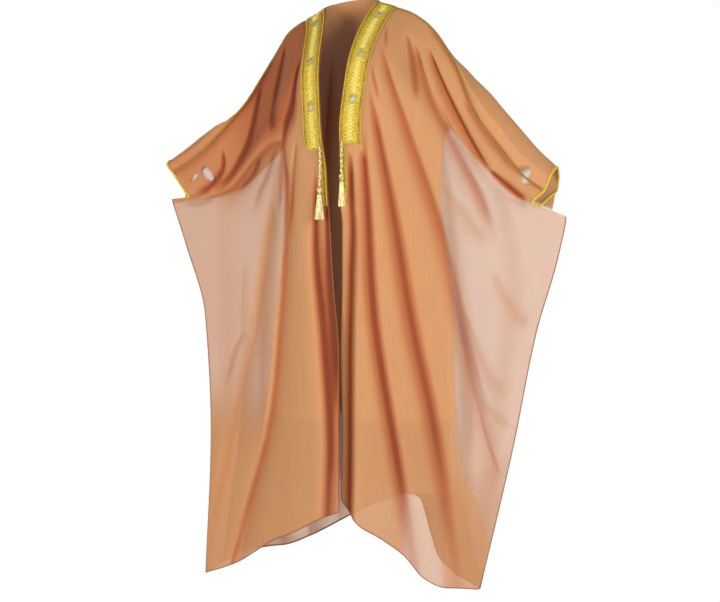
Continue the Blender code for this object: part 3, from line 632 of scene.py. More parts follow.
@functools.lru_cache(maxsize=None)
def front_panel_grid(is_left):
    """Points, tone, closeness, rows and column shares of a front panel."""
    t = row_steps((0.0, 0.17, 56), (0.17, BAND_END, 24), (BAND_END, 1.0, 176))[:, None]
    share = band_share(is_left, t)
    band = np.linspace(0.0, 1.0, FRONT_BAND_CELLS + 1)[None, :]
    wing = np.linspace(0.0, 1.0, FRONT_WING_CELLS + 1)[None, 1:]
    s = np.concatenate([share * band, mix(share, 1.0, wing)], axis=1)
    points, tone, fill = front_form(is_left, s, t)
    return points, tone, fill, t, s


def neck_reach(top_x):
    """t of the neck band's lower border, carried on smoothly past its ends."""
    outer = NECK_HALF + BAND_WIDTH
    off = np.minimum(np.abs(top_x), outer) / (outer + 0.002)
    arc = NECK_DROP * np.sqrt(np.maximum(0.03, 1.0 - off ** 2))
    return mix(arc, 0.06, ramp(outer, outer + 0.12, np.abs(top_x)))


@functools.lru_cache(maxsize=None)
def back_panel_grid():
    """Points, tone and closeness of the back panel, its rows and its top x."""
    opening = NECK_HALF * np.sin(0.5 * math.pi * np.linspace(-1.0, 1.0, NECK_CELLS + 1))
    band = NECK_HALF + BAND_WIDTH * np.linspace(0.0, 1.0, FRONT_BAND_CELLS + 1)[1:]
    outer = NECK_HALF + BAND_WIDTH
    wing = np.linspace(0.0, 1.0, BACK_WING_CELLS + 1)[1:]
    left, right = mix(outer, side_x(True, 0.0), wing), mix(-outer, side_x(False, 0.0), wing)
    top_x = np.concatenate([right[::-1], -band[::-1], opening, band, left])[None, :]
    reach = neck_reach(top_x)
    upper = np.linspace(0.0, 1.0, NECK_ROW_CELLS + 1)[:-1, None] * reach
    lower = row_steps((0.0, 0.16, 40), (0.16, 1.0, 130))[:, None]
    t = np.concatenate([upper, mix(reach, 1.0, lower)], axis=0)
    points, tone, fill = back_form(top_x, t)
    return points, tone, fill, t, top_x


# ------------------------------------------------------------------- meshes
def add_object(name, data, finish, replaced=()):
    """Adds a piece of the cloak: finish, body, material slot and replaced nodes."""
    made = bpy.data.objects.new(name, data)
    bpy.context.scene.collection.objects.link(made)
    data.materials.clear()
    data.materials.append(finish)
    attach(made, BODY)
    if replaced:
        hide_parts(*replaced)
    return made


def sheet_mesh(name, points, out, uv, attributes=()):
    """A grid of cloth: out is the direction that its outer face looks in."""
    rows, columns = points.shape[:2]
    mesh = bpy.data.meshes.new(name)
    work = bmesh.new()
    bmesh.ops.create_grid(work, x_segments=columns - 1, y_segments=rows - 1, size=0.5)
    work.to_mesh(mesh)
    work.free()
    mesh.vertices.foreach_set("co", points.reshape(-1, 3).astype(np.float32).ravel())
    mesh.update()
    facing = normals_of(points, False).reshape(-1, 3) @ np.asarray(out, float)
    if facing.sum() < 0.0:
        mesh.flip_normals()
    index = np.empty(len(mesh.loops), np.int32)
    mesh.loops.foreach_get("vertex_index", index)
    layer = mesh.uv_layers.new(name="cloth")
    layer.data.foreach_set("uv", uv.reshape(-1, 2)[index].astype(np.float32).ravel())
    for label, values in attributes:
        made = mesh.attributes.new(label, "FLOAT", "POINT")
        made.data.foreach_set("value", values.astype(np.float32).ravel())
    mesh.shade_smooth()
    return mesh


def thicken(piece, wall, offset=0.0):
    """Gives a sheet its wall."""
    shell = piece.modifiers.new("wall", "SOLIDIFY")
    shell.thickness = wall
    shell.offset = offset
    shell.use_rim = True
    return piece


def framed(path):
    """Tangents and two square directions along a path, carried without twist."""
    tangents = unit(np.gradient(path, axis=0))
    first = np.empty_like(path)
    seed = np.cross(tangents[0], (0.0, 1.0, 0.0))
    if np.linalg.norm(seed) < 0.2:
        seed = np.cross(tangents[0], (1.0, 0.0, 0.0))
    carried = unit(seed)
    for k, tangent in enumerate(tangents):
        carried = unit(carried - tangent * np.dot(carried, tangent))
        first[k] = carried
    return tangents, first, np.cross(tangents, first)


def strand_paths(path, turn_radius, count, pitch, per_turn=10):
    """Paths of the strands of a twisted cord round its own line."""
    path = evenly(np.asarray(path, float), pitch / per_turn)
    _, first, second = framed(path)
    run = run_along(path)
    strands = []
    for k in range(count):
        angle = (2.0 * math.pi * (run / pitch + k / count))[:, None]
        strands.append(path + turn_radius * (np.cos(angle) * first + np.sin(angle) * second))
    return strands


def cord_mesh(name, paths, radii, resolution):
    """Round cords along paths, all in one mesh, with a texture map along them."""
    curve = bpy.data.curves.new(name, "CURVE")
    curve.dimensions = "3D"
    curve.bevel_depth = 1.0
    curve.bevel_resolution = resolution
    curve.use_fill_caps = True
    for path, radius in zip(paths, radii):
        spline = curve.splines.new("POLY")
        spline.points.add(len(path) - 1)
        places = np.hstack([path, np.ones((len(path), 1))]).astype(np.float32)
        spline.points.foreach_set("co", places.ravel())
        spline.points.foreach_set("radius", np.broadcast_to(radius, len(path)).astype(np.float32))
        spline.use_smooth = True
    holder = bpy.data.objects.new(name, curve)
    mesh = bpy.data.meshes.new_from_object(holder)
    mesh.name = name
    bpy.data.objects.remove(holder)
    bpy.data.curves.remove(curve)
    mesh.shade_smooth()
    return mesh


def add_sheet(name, points, out, uv, finish_name, replaced, wall, attributes=()):
    """Adds a grid of cloth with its wall as one piece."""
    mesh = sheet_mesh(name, points, out, uv, attributes)
    return thicken(add_object(name, mesh, finish(finish_name), (replaced,)), wall)


def add_cords(name, paths, radii, finish_name, slot_name, replaced=(), resolution=1):
    """Adds round cords along paths as one piece."""
    mesh = cord_mesh(name, paths, radii, resolution)
    return add_object(name, mesh, finish(finish_name), replaced)


def turned_mesh(name, profile, top, sides):
    """A closed round solid turned about the upright line through top."""
    mesh = bpy.data.meshes.new(name)
    work = bmesh.new()
    verts = [work.verts.new((top[0] + out, top[1], top[2] - down)) for out, down in profile]
    edges = [work.edges.new(pair) for pair in zip(verts, verts[1:])]
    bmesh.ops.spin(work, geom=verts + edges, cent=top, axis=(0.0, 0.0, 1.0),
                   angle=2.0 * math.pi, steps=sides, use_merge=True)
    bmesh.ops.remove_doubles(work, verts=work.verts, dist=1e-6)
    bmesh.ops.recalc_face_normals(work, faces=work.faces)
    work.to_mesh(mesh)
    work.free()
    mesh.shade_smooth()
    return mesh


# --------------------------------------------------- sizes and colours to change
def linear(colour):
    """An sRGB hex colour as linear light."""
    parts = [int(colour[k:k + 2], 16) / 255.0 for k in (1, 3, 5)]
    return tuple(c / 12.92 if c <= 0.04045 else ((c + 0.055) / 1.055) ** 2.4
                 for c in parts) + (1.0,)


def colour_property(name, description, colour):
    return FloatVectorProperty(name=name, description=description, subtype="COLOR", size=4,
                               min=0.0, max=1.0, default=linear(colour))


def share_property(name, description, default):
    return FloatProperty(name=name, description=description, subtype="FACTOR", min=0.0, max=1.0,
                         default=default)


def size_property(name, description, default):
    return FloatProperty(name=name, description=description, subtype="DISTANCE", unit="LENGTH",
                         min=0.0, precision=4, default=default)


def power_property(name, description, watts):
    return FloatProperty(name=name, description=description, unit="POWER", min=0.0,
                         default=watts)


class BishtCloth(bpy.types.PropertyGroup):
    """The sheer cloth and its edges."""

    camel: colour_property("Camel", "Cloth in plain light", "#ba8457")
    warm_camel: colour_property("Warm camel", "Streaks of the crepe in plain light", "#bd8759")
    # a painted highlight on the crests, then painted shade down the sides, bottoms and pockets of
    # the folds
    crest_highlight: colour_property("Ridge", "Crests of the folds", "#e0b08a")
    crease_shade: colour_property("Trough", "Sides of the folds", "#a86036")
    deep_crease_shade: colour_property("Deep trough", "Bottoms of the folds", "#823715")
    pocket_shade: colour_property("Pocket", "The deepest pockets of cloth", "#6a2c14")
    edge: colour_property("Edge", "Rolled hems and seams", "#7a3a1c")
    wall: size_property("Wall", "Thickness of the cloth as shown", 0.0006)
    hem_radius: size_property("Hem", "Radius of the rolled hem", 0.0012)
    seam_radius: size_property("Side seam", "Radius of the seam down each side", 0.0014)
    wing_left: share_property("Left wing cover", "Share that one layer hides there", 0.42)
    wing_right: share_property("Right wing cover", "Share that one layer hides there", 0.55)
    body: share_property("Body cover", "Share that one layer hides over body and arms", 0.97)


class BishtGold(bpy.types.PropertyGroup):
    """The woven gold bands and the gilt cords."""

    field: colour_property("Field", "Middle of a woven band", "#c8a626")
    # bright and dark threads: the gilt floats painted from highlight to shade, float by float
    bright: colour_property("Bright thread", "Gilt threads that catch the light", "#e6cf45")
    dark: colour_property("Dark thread", "Ground between the gilt threads", "#9c7c14")
    pale: colour_property("Pale gold", "Floss of the tassels", "#f8f0bc")
    silver: colour_property("Silver", "Sewn lozenges", "#b8b8a8")
    # the seam cords' bronze gold: painted shade between the wraps and a painted highlight on them
    cord_dark: colour_property("Cord shade", "Seam cords between their wraps", "#6e5414")
    cord_light: colour_property("Cord light", "Seam cords on their wraps", "#b0913a")
    wall: size_property("Band wall", "Thickness of a woven band as shown", 0.0014)
    lozenge_width: size_property("Lozenge width", "Width of a sewn lozenge", 0.014)
    lozenge_length: size_property("Lozenge length", "Length of a sewn lozenge", 0.021)
    braid_radius: size_property("Braid", "Radius of a strand of the border braid", 0.0008)
    tie_turn: size_property("Tie turn", "Length of one turn of a tie cord", 0.026)
    floss_threads: IntProperty(name="Floss threads", min=12, max=60, default=30,
                               description="Threads in the outer ring of a tassel")


class BishtStudio(bpy.types.PropertyGroup):
    """Soft light of the plain studio."""

    key: power_property("Key light", "Softbox on the wearer's left", 110.0)
    fill: power_property("Fill light", "Softbox on the wearer's right", 84.0)
    top: power_property("Top light", "Softbox overhead", 8.0)
    low: power_property("Low light", "Small softbox near the floor in front", 14.0)
    rear: power_property("Rear light", "Softbox behind the cloak", 110.0)
    room: FloatProperty(name="Room light", description="Strength of the light from all round",
                        min=0.0, default=0.34)
    floor_glow: share_property("Floor glow", "How far the floor is lifted to white", 1.0)


# ---------------------------------------------------------------- materials
def feed(tree, node, inputs):
    """Sets or links sockets, given in order, or by name or number."""
    for key, value in inputs.items() if isinstance(inputs, dict) else enumerate(inputs):
        if isinstance(value, bpy.types.NodeSocket):
            tree.links.new(value, node.inputs[key])
        else:
            node.inputs[key].default_value = value


def add_node(tree, kind, inputs=(), output=0, **settings):
    """Adds a node with its settings and links, and gives one of its outputs."""
    made = tree.nodes.new("ShaderNode" + kind)
    for key, value in settings.items():
        setattr(made, key, value)
    feed(tree, made, inputs)
    return made.outputs[output]


def new_material(name):
    """A material with its tree and its Principled shader."""
    made = bpy.data.materials.new(name)
    made.use_nodes = True
    return made, made.node_tree, made.node_tree.nodes["Principled BSDF"]


def uneven_threads(tree, place, counts, detail):
    """Uneven threads at a place, by their counts to a metre along each axis."""
    scaled = add_node(tree, "Mapping", {"Vector": place, "Scale": counts})
    return add_node(tree, "TexNoise", {"Vector": scaled, "Scale": 1.0, "Detail": detail}, "Fac")


def camel_chiffon():
    """Polyester crepe chiffon, plain woven: matt and sheer, with a faint dry bloom.

    Its threads lie about 0.3 mm apart, too fine to show, so the weave is drawn
    at 0.9 mm.  The crepe twist gives soft uneven streaks down the length.
    """
    look = bpy.context.scene.bisht_cloth
    made, tree, shader = new_material("camel_crepe_chiffon")
    place = add_node(tree, "UVMap", uv_map="cloth")
    cover = add_node(tree, "Attribute", (), "Fac", attribute_name="cover")
    tone = add_node(tree, "Attribute", (), "Fac", attribute_name="tone")
    # crepe streaks: about 9 mm across and 160 mm down
    streaks = uneven_threads(tree, place, (110.0, 6.0, 1.0), 2.0)
    # soft crumple of handled cloth: about 80 mm across and 330 mm down
    crumple = uneven_threads(tree, place, (12.0, 3.0, 1.0), 3.0)
    # weave: two thread directions 0.9 mm apart
    warp, weft = (add_node(tree, "TexWave", {"Vector": place, "Scale": 349.0}, "Fac",
                           bands_direction=way) for way in ("X", "Y"))
    weave = add_node(tree, "Math", (warp, weft), operation="MULTIPLY")
    # colour: plain cloth with its streaks, then a painted highlight on the crests and painted
    # shade on the sides, bottoms and pockets of the folds
    colour = look.camel
    for value, low, high, step, shade in (
            (streaks, 0.3, 0.7, "LINEAR", look.warm_camel),
            (tone, 0.0, -0.8, "LINEAR", look.crest_highlight),
            (tone, 0.04, 0.55, "SMOOTHSTEP", look.crease_shade),
            (tone, 0.50, 0.90, "SMOOTHSTEP", look.deep_crease_shade),
            (tone, 0.90, 1.10, "LINEAR", look.pocket_shade)):
        share = add_node(tree, "MapRange", (value, low, high), interpolation_type=step)
        colour = add_node(tree, "Mix", {0: share, 6: colour, 7: shade}, 2, data_type="RGBA")
    # the cover thins a little between threads and along the streaks
    between = add_node(tree, "MapRange", (weave, 0.0, 1.0, 0.98, 1.02))
    uneven = add_node(tree, "MapRange", (streaks, 0.3, 0.7, 0.99, 1.01))
    alpha = add_node(tree, "Math", (cover, between), operation="MULTIPLY")
    alpha = add_node(tree, "Math", (alpha, uneven), operation="MULTIPLY", use_clamp=True)
    relief = {}
    for height, strength, distance in ((weave, 0.05, 0.0002), (streaks, 0.05, 0.0006),
                                       (crumple, 0.25, 0.004)):
        relief = {"Normal": add_node(tree, "Bump", {
            "Height": height, "Strength": strength, "Distance": distance, **relief})}
    feed(tree, shader, {
        "Base Color": colour, "Alpha": alpha, **relief,
        "Roughness": add_node(tree, "MapRange", (streaks, 0.0, 1.0, 0.64, 0.80)),
        "Specular IOR Level": 0.25, "Sheen Weight": 0.20, "Sheen Roughness": 0.45,
        "Sheen Tint": linear("#ffd9bd")})
    return made


def rolled_edge():
    """Rolled and overlocked chiffon edge: several layers, so it reads dark brown."""
    look = bpy.context.scene.bisht_cloth
    made, tree, shader = new_material("rolled_chiffon_edge")
    place = add_node(tree, "TexCoord", (), "Object")
    # overlock stitches about 1.5 mm apart
    stitches = add_node(tree, "TexNoise", {"Vector": place, "Scale": 650.0, "Detail": 1.0}, "Fac")
    feed(tree, shader, {
        "Base Color": add_node(tree, "Mix", {0: stitches, 6: look.edge, 7: linear("#a4653c")}, 2,
                               data_type="RGBA"),
        "Normal": add_node(tree, "Bump", {"Height": stitches, "Strength": 0.4,
                                          "Distance": 0.0004}),
        "Roughness": add_node(tree, "MapRange", (stitches, 0.3, 0.7, 0.85, 0.68)),
        "Specular IOR Level": 0.25})
    return made


def zari_cloth():
    """Woven gold zari band: flat gilt threads on silk, rough and glittering.

    The gilt floats are about 1 mm long; they are drawn at 2.2 mm to show.
    """
    look = bpy.context.scene.bisht_gold
    made, tree, shader = new_material("woven_gold_zari")
    place = add_node(tree, "UVMap", uv_map="cloth")
    # distance from the middle of the 50 mm band
    middle = add_node(tree, "Math", (add_node(tree, "SeparateXYZ", (place,)), 0.5 * BAND_WIDTH),
                      operation="SUBTRACT")
    out = add_node(tree, "Math", (middle,), operation="ABSOLUTE")
    border = add_node(tree, "MapRange", (out, 0.0150, 0.0175))
    # gilt floats, each turned its own way; their colours from dark to bright are painted light, as
    # if each caught the lamps its own way
    floats = add_node(tree, "TexVoronoi", {"Vector": place, "Scale": 450.0}, "Color")
    tone = add_node(tree, "SeparateXYZ", (floats,))
    patches = add_node(tree, "TexNoise", {"Vector": place, "Scale": 170.0, "Detail": 2.0}, "Fac")
    # ribs of gilt thread, 1.3 mm apart
    ribs = add_node(tree, "TexWave", {"Vector": place, "Scale": 240.0, "Distortion": 0.6,
                                      "Detail Scale": 3.0}, "Fac", bands_direction="Y")
    # the field goes from dark to bright float by float (painted light), then patches of its plain
    # gold, then sparks (painted glints)
    field = look.dark
    for limits, shade in (((tone, 0.15, 0.95), look.bright),
                          ((patches, 0.35, 0.65, 0.25, 0.75), look.field),
                          ((tone, 0.90, 0.98, 0.0, 0.55), linear("#f4ecb4"))):
        share = add_node(tree, "MapRange", limits)
        field = add_node(tree, "Mix", {0: share, 6: field, 7: shade}, 2, data_type="RGBA")
    rim_share = add_node(tree, "MapRange", (tone, 0.2, 1.0))
    rim = add_node(tree, "Mix", {0: rim_share, 6: linear("#8a6a10"), 7: linear("#c79f26")}, 2,
                   data_type="RGBA")
    height = add_node(tree, "Math", (ribs, tone), operation="ADD")
    feed(tree, shader, {
        "Base Color": add_node(tree, "Mix", {0: border, 6: field, 7: rim}, 2, data_type="RGBA"),
        "Roughness": add_node(tree, "MapRange", (tone, 0.0, 1.0, 0.58, 0.36)),
        "Normal": add_node(tree, "Bump", {"Height": height, "Strength": 0.7,
                                          "Distance": 0.0006}),
        "Metallic": 0.30})
    return made


def gilt_thread(name, dark, light, metallic, roughness, grain=(900.0, 900.0, 900.0)):
    """Gilt thread wound on a silk core: fine wraps, with a painted highlight where they turn and
    painted shade between them.

    A grain of 900 draws wraps about 1 mm apart; ties and floss have a coarser
    or longer one, because their threads lie side by side.
    """
    made, tree, shader = new_material(name)
    wraps = uneven_threads(tree, add_node(tree, "TexCoord", (), "Object"), grain, 1.0)
    share = add_node(tree, "MapRange", (wraps, 0.38, 0.62))
    feed(tree, shader, {
        "Base Color": add_node(tree, "Mix", {0: share, 6: dark, 7: light}, 2, data_type="RGBA"),
        "Roughness": add_node(tree, "MapRange",
                              (share, 0.0, 1.0, roughness + 0.12, roughness - 0.06)),
        "Normal": add_node(tree, "Bump", {"Height": wraps, "Strength": 0.5,
                                          "Distance": 0.0003}),
        "Metallic": metallic})
    return made


@functools.lru_cache(maxsize=None)
def finish(name):
    """Each material is made once, the first time that a piece asks for it."""
    cloths = {"chiffon": camel_chiffon, "edge": rolled_edge, "zari": zari_cloth}
    if name in cloths:
        return cloths[name]()
    look = bpy.context.scene.bisht_gold
    gilt = {
        # the material's name, its painted shade between the wraps and painted highlight on them,
        # how metallic and rough it is, its grain
        "cord": ("twisted_gilt_cord", look.cord_dark, look.cord_light, 0.35, 0.45),
        "tie": ("bright_gilt_cord", linear("#7d5f10"), linear("#f4e6a6"), 0.15, 0.50,
                (420.0, 420.0, 220.0)),
        "cuff": ("gilt_cuff_cord", linear("#a8861c"), linear("#e6cf52"), 0.20, 0.50),
        "braid": ("gilt_braid", linear("#a8862a"), linear("#d6b93c"), 0.10, 0.60),
        "chain": ("gilt_chain_stitch", linear("#cdb13a"), linear("#f2e88e"), 0.10, 0.55),
        "pale": ("pale_gold_floss", linear("#c2aa52"), look.pale, 0.0, 0.60,
                 (700.0, 700.0, 45.0)),
        "silver": ("silver_thread", linear("#8f8f80"), look.silver, 0.35, 0.40),
    }
    return gilt_thread(*gilt[name])


# ------------------------------------------------------------------- pieces
def make_front_panel(is_left):
    """One front panel, sleeve and wing in one."""
    look = bpy.context.scene.bisht_cloth
    suffix = pick(is_left, "left", "right")
    points, tone, fill, t, s = front_panel_grid(is_left)
    base = front_base(is_left, s, t)[1]
    x, z = points[..., 0], points[..., 2]
    cover = cover_of(pick(is_left, look.wing_left, look.wing_right), look.body,
                     through(LOW_FRONT, x), density(is_left, x, z), fill, points, base,
                     thin_places(THIN_FRONT, x, z))
    uv = np.stack([lengths(points, 1), lengths(points, 0)], axis=-1)
    piece = add_sheet("cloth_front_" + suffix, points, (0.0, -1.0, 0.0), uv, "chiffon",
                      "front_" + suffix, look.wall,
                      (("cover", cover), ("tone", tone)))
    edges = [evenly(points[-1], HEM_STEP), evenly(points[:, 0], HEM_STEP)]
    hem = add_cords("hem_front_" + suffix, edges, [look.hem_radius] * 2, "edge", "chiffon")


def make_back_panel():
    """The back panel with both sleeve backs."""
    look = bpy.context.scene.bisht_cloth
    points, tone, fill, t, top_x = back_panel_grid()
    x, z = points[..., 0], points[..., 2]
    dense = np.where(x >= 0.0, density(True, x, z, BACK_SHIFT * ramp(-0.27, -0.33, z)),
                     density(False, x, z))
    base = back_base(np.broadcast_to(top_x, t.shape), t)[..., 1]
    wing = mix(look.wing_right, look.wing_left, ramp(-0.05, 0.05, x))
    cover = cover_of(wing, 1.0 - 0.3 * (1.0 - look.body), through(LOW_BACK, x), dense, fill,
                     points, base, thin_places(THIN_BACK, x, z))
    uv = np.stack([lengths(points, 1), lengths(points, 0)], axis=-1)
    piece = add_sheet("cloth_back", points, (0.0, 1.0, 0.0), uv, "chiffon", "back",
                      look.wall, (("cover", cover), ("tone", tone)))
    hem = add_cords("hem_back", [evenly(points[-1], HEM_STEP)], [1.5 * look.hem_radius],
                    "edge", "chiffon")


def make_side_seam(is_left):
    """The seam that joins front and back down a side, from the wrist to the hem."""
    path = back_side(is_left, row_steps((ARM_T, 1.0, 160)))
    path[:, 1] = 0.0
    add_cords("side_seam_" + pick(is_left, "left", "right"), [evenly(path, HEM_STEP)],
              [bpy.context.scene.bisht_cloth.seam_radius], "edge", "chiffon")


@functools.lru_cache(maxsize=None)
def band_surface(is_left):
    """Points, normals and running lengths of the gold band's own surface."""
    points, _, _, t, _ = front_panel_grid(is_left)
    rows = int(np.searchsorted(t[:, 0], EDGING_END)) + 1
    normals = normals_of(points, is_left)[:rows, :FRONT_BAND_CELLS + 1]
    if normals[..., 1].sum() > 0.0:
        normals = -normals
    grid = points[:rows, :FRONT_BAND_CELLS + 1]
    return grid + normals * LIFT, normals, lengths(grid, 0).mean(axis=1)


def spots_on(surface, u, v, lift=0.0):
    """Places on a band's surface at u across it and v down it, in metres."""
    grid, normals, down = surface
    cells = grid.shape[1] - 1
    column = np.clip(u / BAND_WIDTH * cells, 0.0, cells - 1e-6)
    row = np.clip(np.interp(v, down, np.arange(len(down))), 0.0, len(down) - 1.001)
    c, r = column.astype(int), row.astype(int)
    fc, fr = (column - c)[..., None], (row - r)[..., None]

    def read(values):
        return ((values[r, c] * (1 - fc) + values[r, c + 1] * fc) * (1 - fr)
                + (values[r + 1, c] * (1 - fc) + values[r + 1, c + 1] * fc) * fr)

    return read(grid) + unit(read(normals)) * lift


def run_down_to(is_left, t):
    """Running length down a band's surface to a row of the cloth."""
    rows = front_panel_grid(is_left)[3][:, 0]
    down = band_surface(is_left)[2]
    return float(np.interp(t, rows[:len(down)], down))


def lozenge_runs(is_left):
    """Running lengths down a band to the middles of its three lozenges."""
    grid, _, down = band_surface(is_left)
    height = grid[:, FRONT_BAND_CELLS // 2, 2]
    middles = pick(is_left, LOZENGES_LEFT, LOZENGES_RIGHT)
    return [float(np.interp(-z, -height, down)) for z in middles]


def braid_paths(path):
    """The two strands of a fine border braid."""
    return strand_paths(path, BRAID_TURN, 2, BRAID_PITCH, 8)


def border_line(length, corner):
    """Border of a band: down its edge, along the bottom, round the corner and up."""
    turn = np.linspace(0.0, 0.5 * math.pi, 10)
    inner = max(0.001, corner - BORDER_IN)
    inside = BAND_WIDTH - corner
    return np.vstack([
        np.column_stack([np.full(80, 0.0010), np.linspace(0.004, length - 0.004, 80)]),
        np.column_stack([np.linspace(0.0020, inside - 0.001, 12),
                         np.full(12, length - BORDER_IN)]),
        np.column_stack([inside + inner * np.sin(turn), length - corner + inner * np.cos(turn)]),
        np.column_stack([np.full(80, BAND_WIDTH - BORDER_IN),
                         np.linspace(length - corner - 0.002, 0.004, 80)])])


def make_band(is_left):
    """A woven gold band down one front edge, with its raised work."""
    look = bpy.context.scene.bisht_gold
    suffix = pick(is_left, "left", "right")
    surface = band_surface(is_left)
    length = run_down_to(is_left, BAND_END)
    corner = pick(is_left, CORNER_LEFT, CORNER_RIGHT)
    u = np.linspace(0.0, BAND_WIDTH, 25)[None, :]
    past = np.maximum(0.0, u - (BAND_WIDTH - corner))
    bottom = length - (corner - np.sqrt(np.maximum(0.0, corner ** 2 - past ** 2)))
    v = np.linspace(0.0, 1.0, 161)[:, None] * bottom
    u = np.broadcast_to(u, v.shape)
    add_sheet("zari_band_" + suffix, spots_on(surface, u, v), (0.0, -1.0, 0.0),
              np.stack([u, v], axis=-1), "zari", "band_" + suffix, look.wall)
    top = 0.5 * look.wall
    border = border_line(length, corner)
    strands = braid_paths(spots_on(surface, border[:, 0], border[:, 1], top + BRAID_LIFT))
    run = np.linspace(0.003, length - 0.006, 150)
    for offset in FINE_LINES + tuple(BAND_WIDTH - line for line in reversed(FINE_LINES)):
        strands.append(spots_on(surface, np.full(150, offset), run, top + 0.0002))
    add_cords("band_braid_" + suffix, strands, [look.braid_radius] * 2 + [FINE_LINE_RADIUS] * 4,
              "braid", "gold_cord")
    make_chain(is_left, surface, top, length)
    make_lozenges(is_left, surface, top)


def make_chain(is_left, surface, top, length):
    """Chains of small and large diamonds down a band, left out at its lozenges."""
    clear = 0.5 * bpy.context.scene.bisht_gold.lozenge_length + 0.002
    stops = [0.006 - clear] + lozenge_runs(is_left) + [length - 0.006 + clear]
    paths = []
    for first, last in zip(stops, stops[1:]):
        for reach, step in CHAINS:
            marks = np.arange(first + clear, last - clear, step)
            if len(marks) < 3:
                continue
            zigzag = reach * np.where(np.arange(len(marks)) % 2 == 0, 1.0, -1.0)
            for side in (1.0, -1.0):
                across = 0.5 * BAND_WIDTH + side * zigzag
                line = spots_on(surface, across, marks, top + 0.0003)
                paths.append(evenly(line, 0.0010))
    add_cords("band_chain_" + pick(is_left, "left", "right"), paths,
              [CHAIN_RADIUS] * len(paths), "chain", "gold_cord")


def make_lozenges(is_left, surface, top):
    """Raised silver lozenges sewn on a band, three to a side."""
    look = bpy.context.scene.bisht_gold
    name = "band_lozenges_" + pick(is_left, "left", "right")
    half_width, half_length = 0.25 * look.lozenge_width, 0.25 * look.lozenge_length
    work = bmesh.new()
    for v in lozenge_runs(is_left):
        made = bmesh.ops.create_grid(work, x_segments=12, y_segments=12, size=1.0)["verts"]
        a = np.array([vertex.co.x for vertex in made])
        b = np.array([vertex.co.y for vertex in made])
        rise = ((1.0 - a ** 2) * (1.0 - b ** 2)) ** 0.35
        stitches = 0.00025 * np.cos(7.0 * math.pi * a)   # ribs of silver thread
        across = 0.5 * BAND_WIDTH + half_width * (a - b)
        down = v + half_length * (a + b)
        places = spots_on(surface, across, down)
        normals = spots_on(surface, across, down, 1.0) - places
        places = places + normals * (top + 0.0004 + (0.0016 + stitches) * rise)[:, None]
        for vertex, place in zip(made, places):
            vertex.co = place
    mesh = bpy.data.meshes.new(name)
    bmesh.ops.recalc_face_normals(work, faces=work.faces)
    work.normal_update()
    if sum(face.normal.y for face in work.faces) > 0.0:
        bmesh.ops.reverse_faces(work, faces=work.faces)
    work.to_mesh(mesh)
    work.free()
    mesh.shade_smooth()
    thicken(add_object(name, mesh, finish("silver")), 0.0008, -1.0)


def make_edging(is_left):
    """The narrow gold edging below a band."""
    look = bpy.context.scene.bisht_gold
    suffix = pick(is_left, "left", "right")
    surface = band_surface(is_left)
    first, last = run_down_to(is_left, BAND_END), run_down_to(is_left, EDGING_END)
    u, v = np.meshgrid(np.linspace(0.0, EDGING_WIDTH, 9),
                       np.linspace(first + 0.0006, last - 0.001, 60))
    add_sheet("zari_edging_" + suffix, spots_on(surface, u, v), (0.0, -1.0, 0.0),
              np.stack([u, v], axis=-1), "zari", "edging_" + suffix, 0.0012)
    paths = []
    run = np.linspace(first + 0.001, last - 0.002, 60)
    for offset in (0.0010, EDGING_WIDTH - 0.0010):
        paths += braid_paths(spots_on(surface, np.full(60, offset), run, 0.0010))
    add_cords("edging_braid_" + suffix, paths, [look.braid_radius] * len(paths), "braid",
              "gold_cord")


def make_neck_band():
    """The gold band round the back of the neck."""
    look = bpy.context.scene.bisht_gold
    points = back_panel_grid()[0]
    part = (slice(NECK_ROW_CELLS + 1), slice(BACK_WING_CELLS, points.shape[1] - BACK_WING_CELLS))
    normals = normals_of(points, False)[part]
    if normals[..., 1].sum() < 0.0:
        normals = -normals
    grid = points[part] + normals * (LIFT + GAP)
    across = lengths(grid, 0)
    across = across / np.maximum(across[-1:], 1e-6) * BAND_WIDTH
    along = np.broadcast_to(lengths(grid, 1)[:1], across.shape)
    add_sheet("zari_band_neck", grid, (0.0, 0.7, 0.7), np.stack([across, along], axis=-1),
              "zari", "band_neck", look.wall)
    paths = []
    for row in (1, NECK_ROW_CELLS - 1):
        path = grid[row, 1:-1] + normals[row, 1:-1] * 0.0012
        paths += braid_paths(evenly(path, 0.002))
    add_cords("neck_braid", paths, [look.braid_radius] * len(paths), "braid", "gold_cord")


def seam_path(is_left):
    """Line of the gold cord on a shoulder seam, from the band to the cuff."""
    top_x = mix(pick(is_left, 1.0, -1.0) * (NECK_HALF + BAND_WIDTH), side_x(is_left, 0.0),
                np.linspace(0.0, 1.0, 90))
    s = (top_x - edge_x(is_left, 0.0)) / (side_x(is_left, 0.0) - edge_x(is_left, 0.0))
    front, lower_front = front_form(is_left, s, 0.0013)[0], front_form(is_left, s, 0.02)[0]
    back, lower_back = back_form(top_x, 0.0013)[0], back_form(top_x, 0.02)[0]
    middle = 0.5 * (front + back)
    down_front, down_back = unit(lower_front - front), unit(lower_back - back)
    along = np.gradient(middle, axis=0)
    normal_front = unit(np.cross(along, down_front))
    normal_front *= np.where(normal_front[:, 1:2] < 0.0, 1.0, -1.0)
    normal_back = unit(np.cross(along, down_back))
    upwards = (normal_back * (0.0, 0.5, 1.0)).sum(axis=1, keepdims=True)
    normal_back *= np.where(upwards > 0.0, 1.0, -1.0)
    path = middle + unit(normal_front + normal_back) * SEAM_CORD_RISE
    return evenly(path, 0.004)[1:-2]


def add_twist(name, path, twist, finish_name):
    """Adds a cord of two strands that stands for the node of its name."""
    turn_radius, pitch, radius = twist
    add_cords("gilt_" + name, strand_paths(path, turn_radius, 2, pitch), [radius] * 2,
              finish_name, "gold_cord", (name,))


def make_shoulder_cord(is_left):
    """Two-strand gold cord along a shoulder seam."""
    name = pick(is_left, "shoulder_cord_left", "shoulder_cord_right")
    add_twist(name, seam_path(is_left), SEAM_TWIST, "cord")


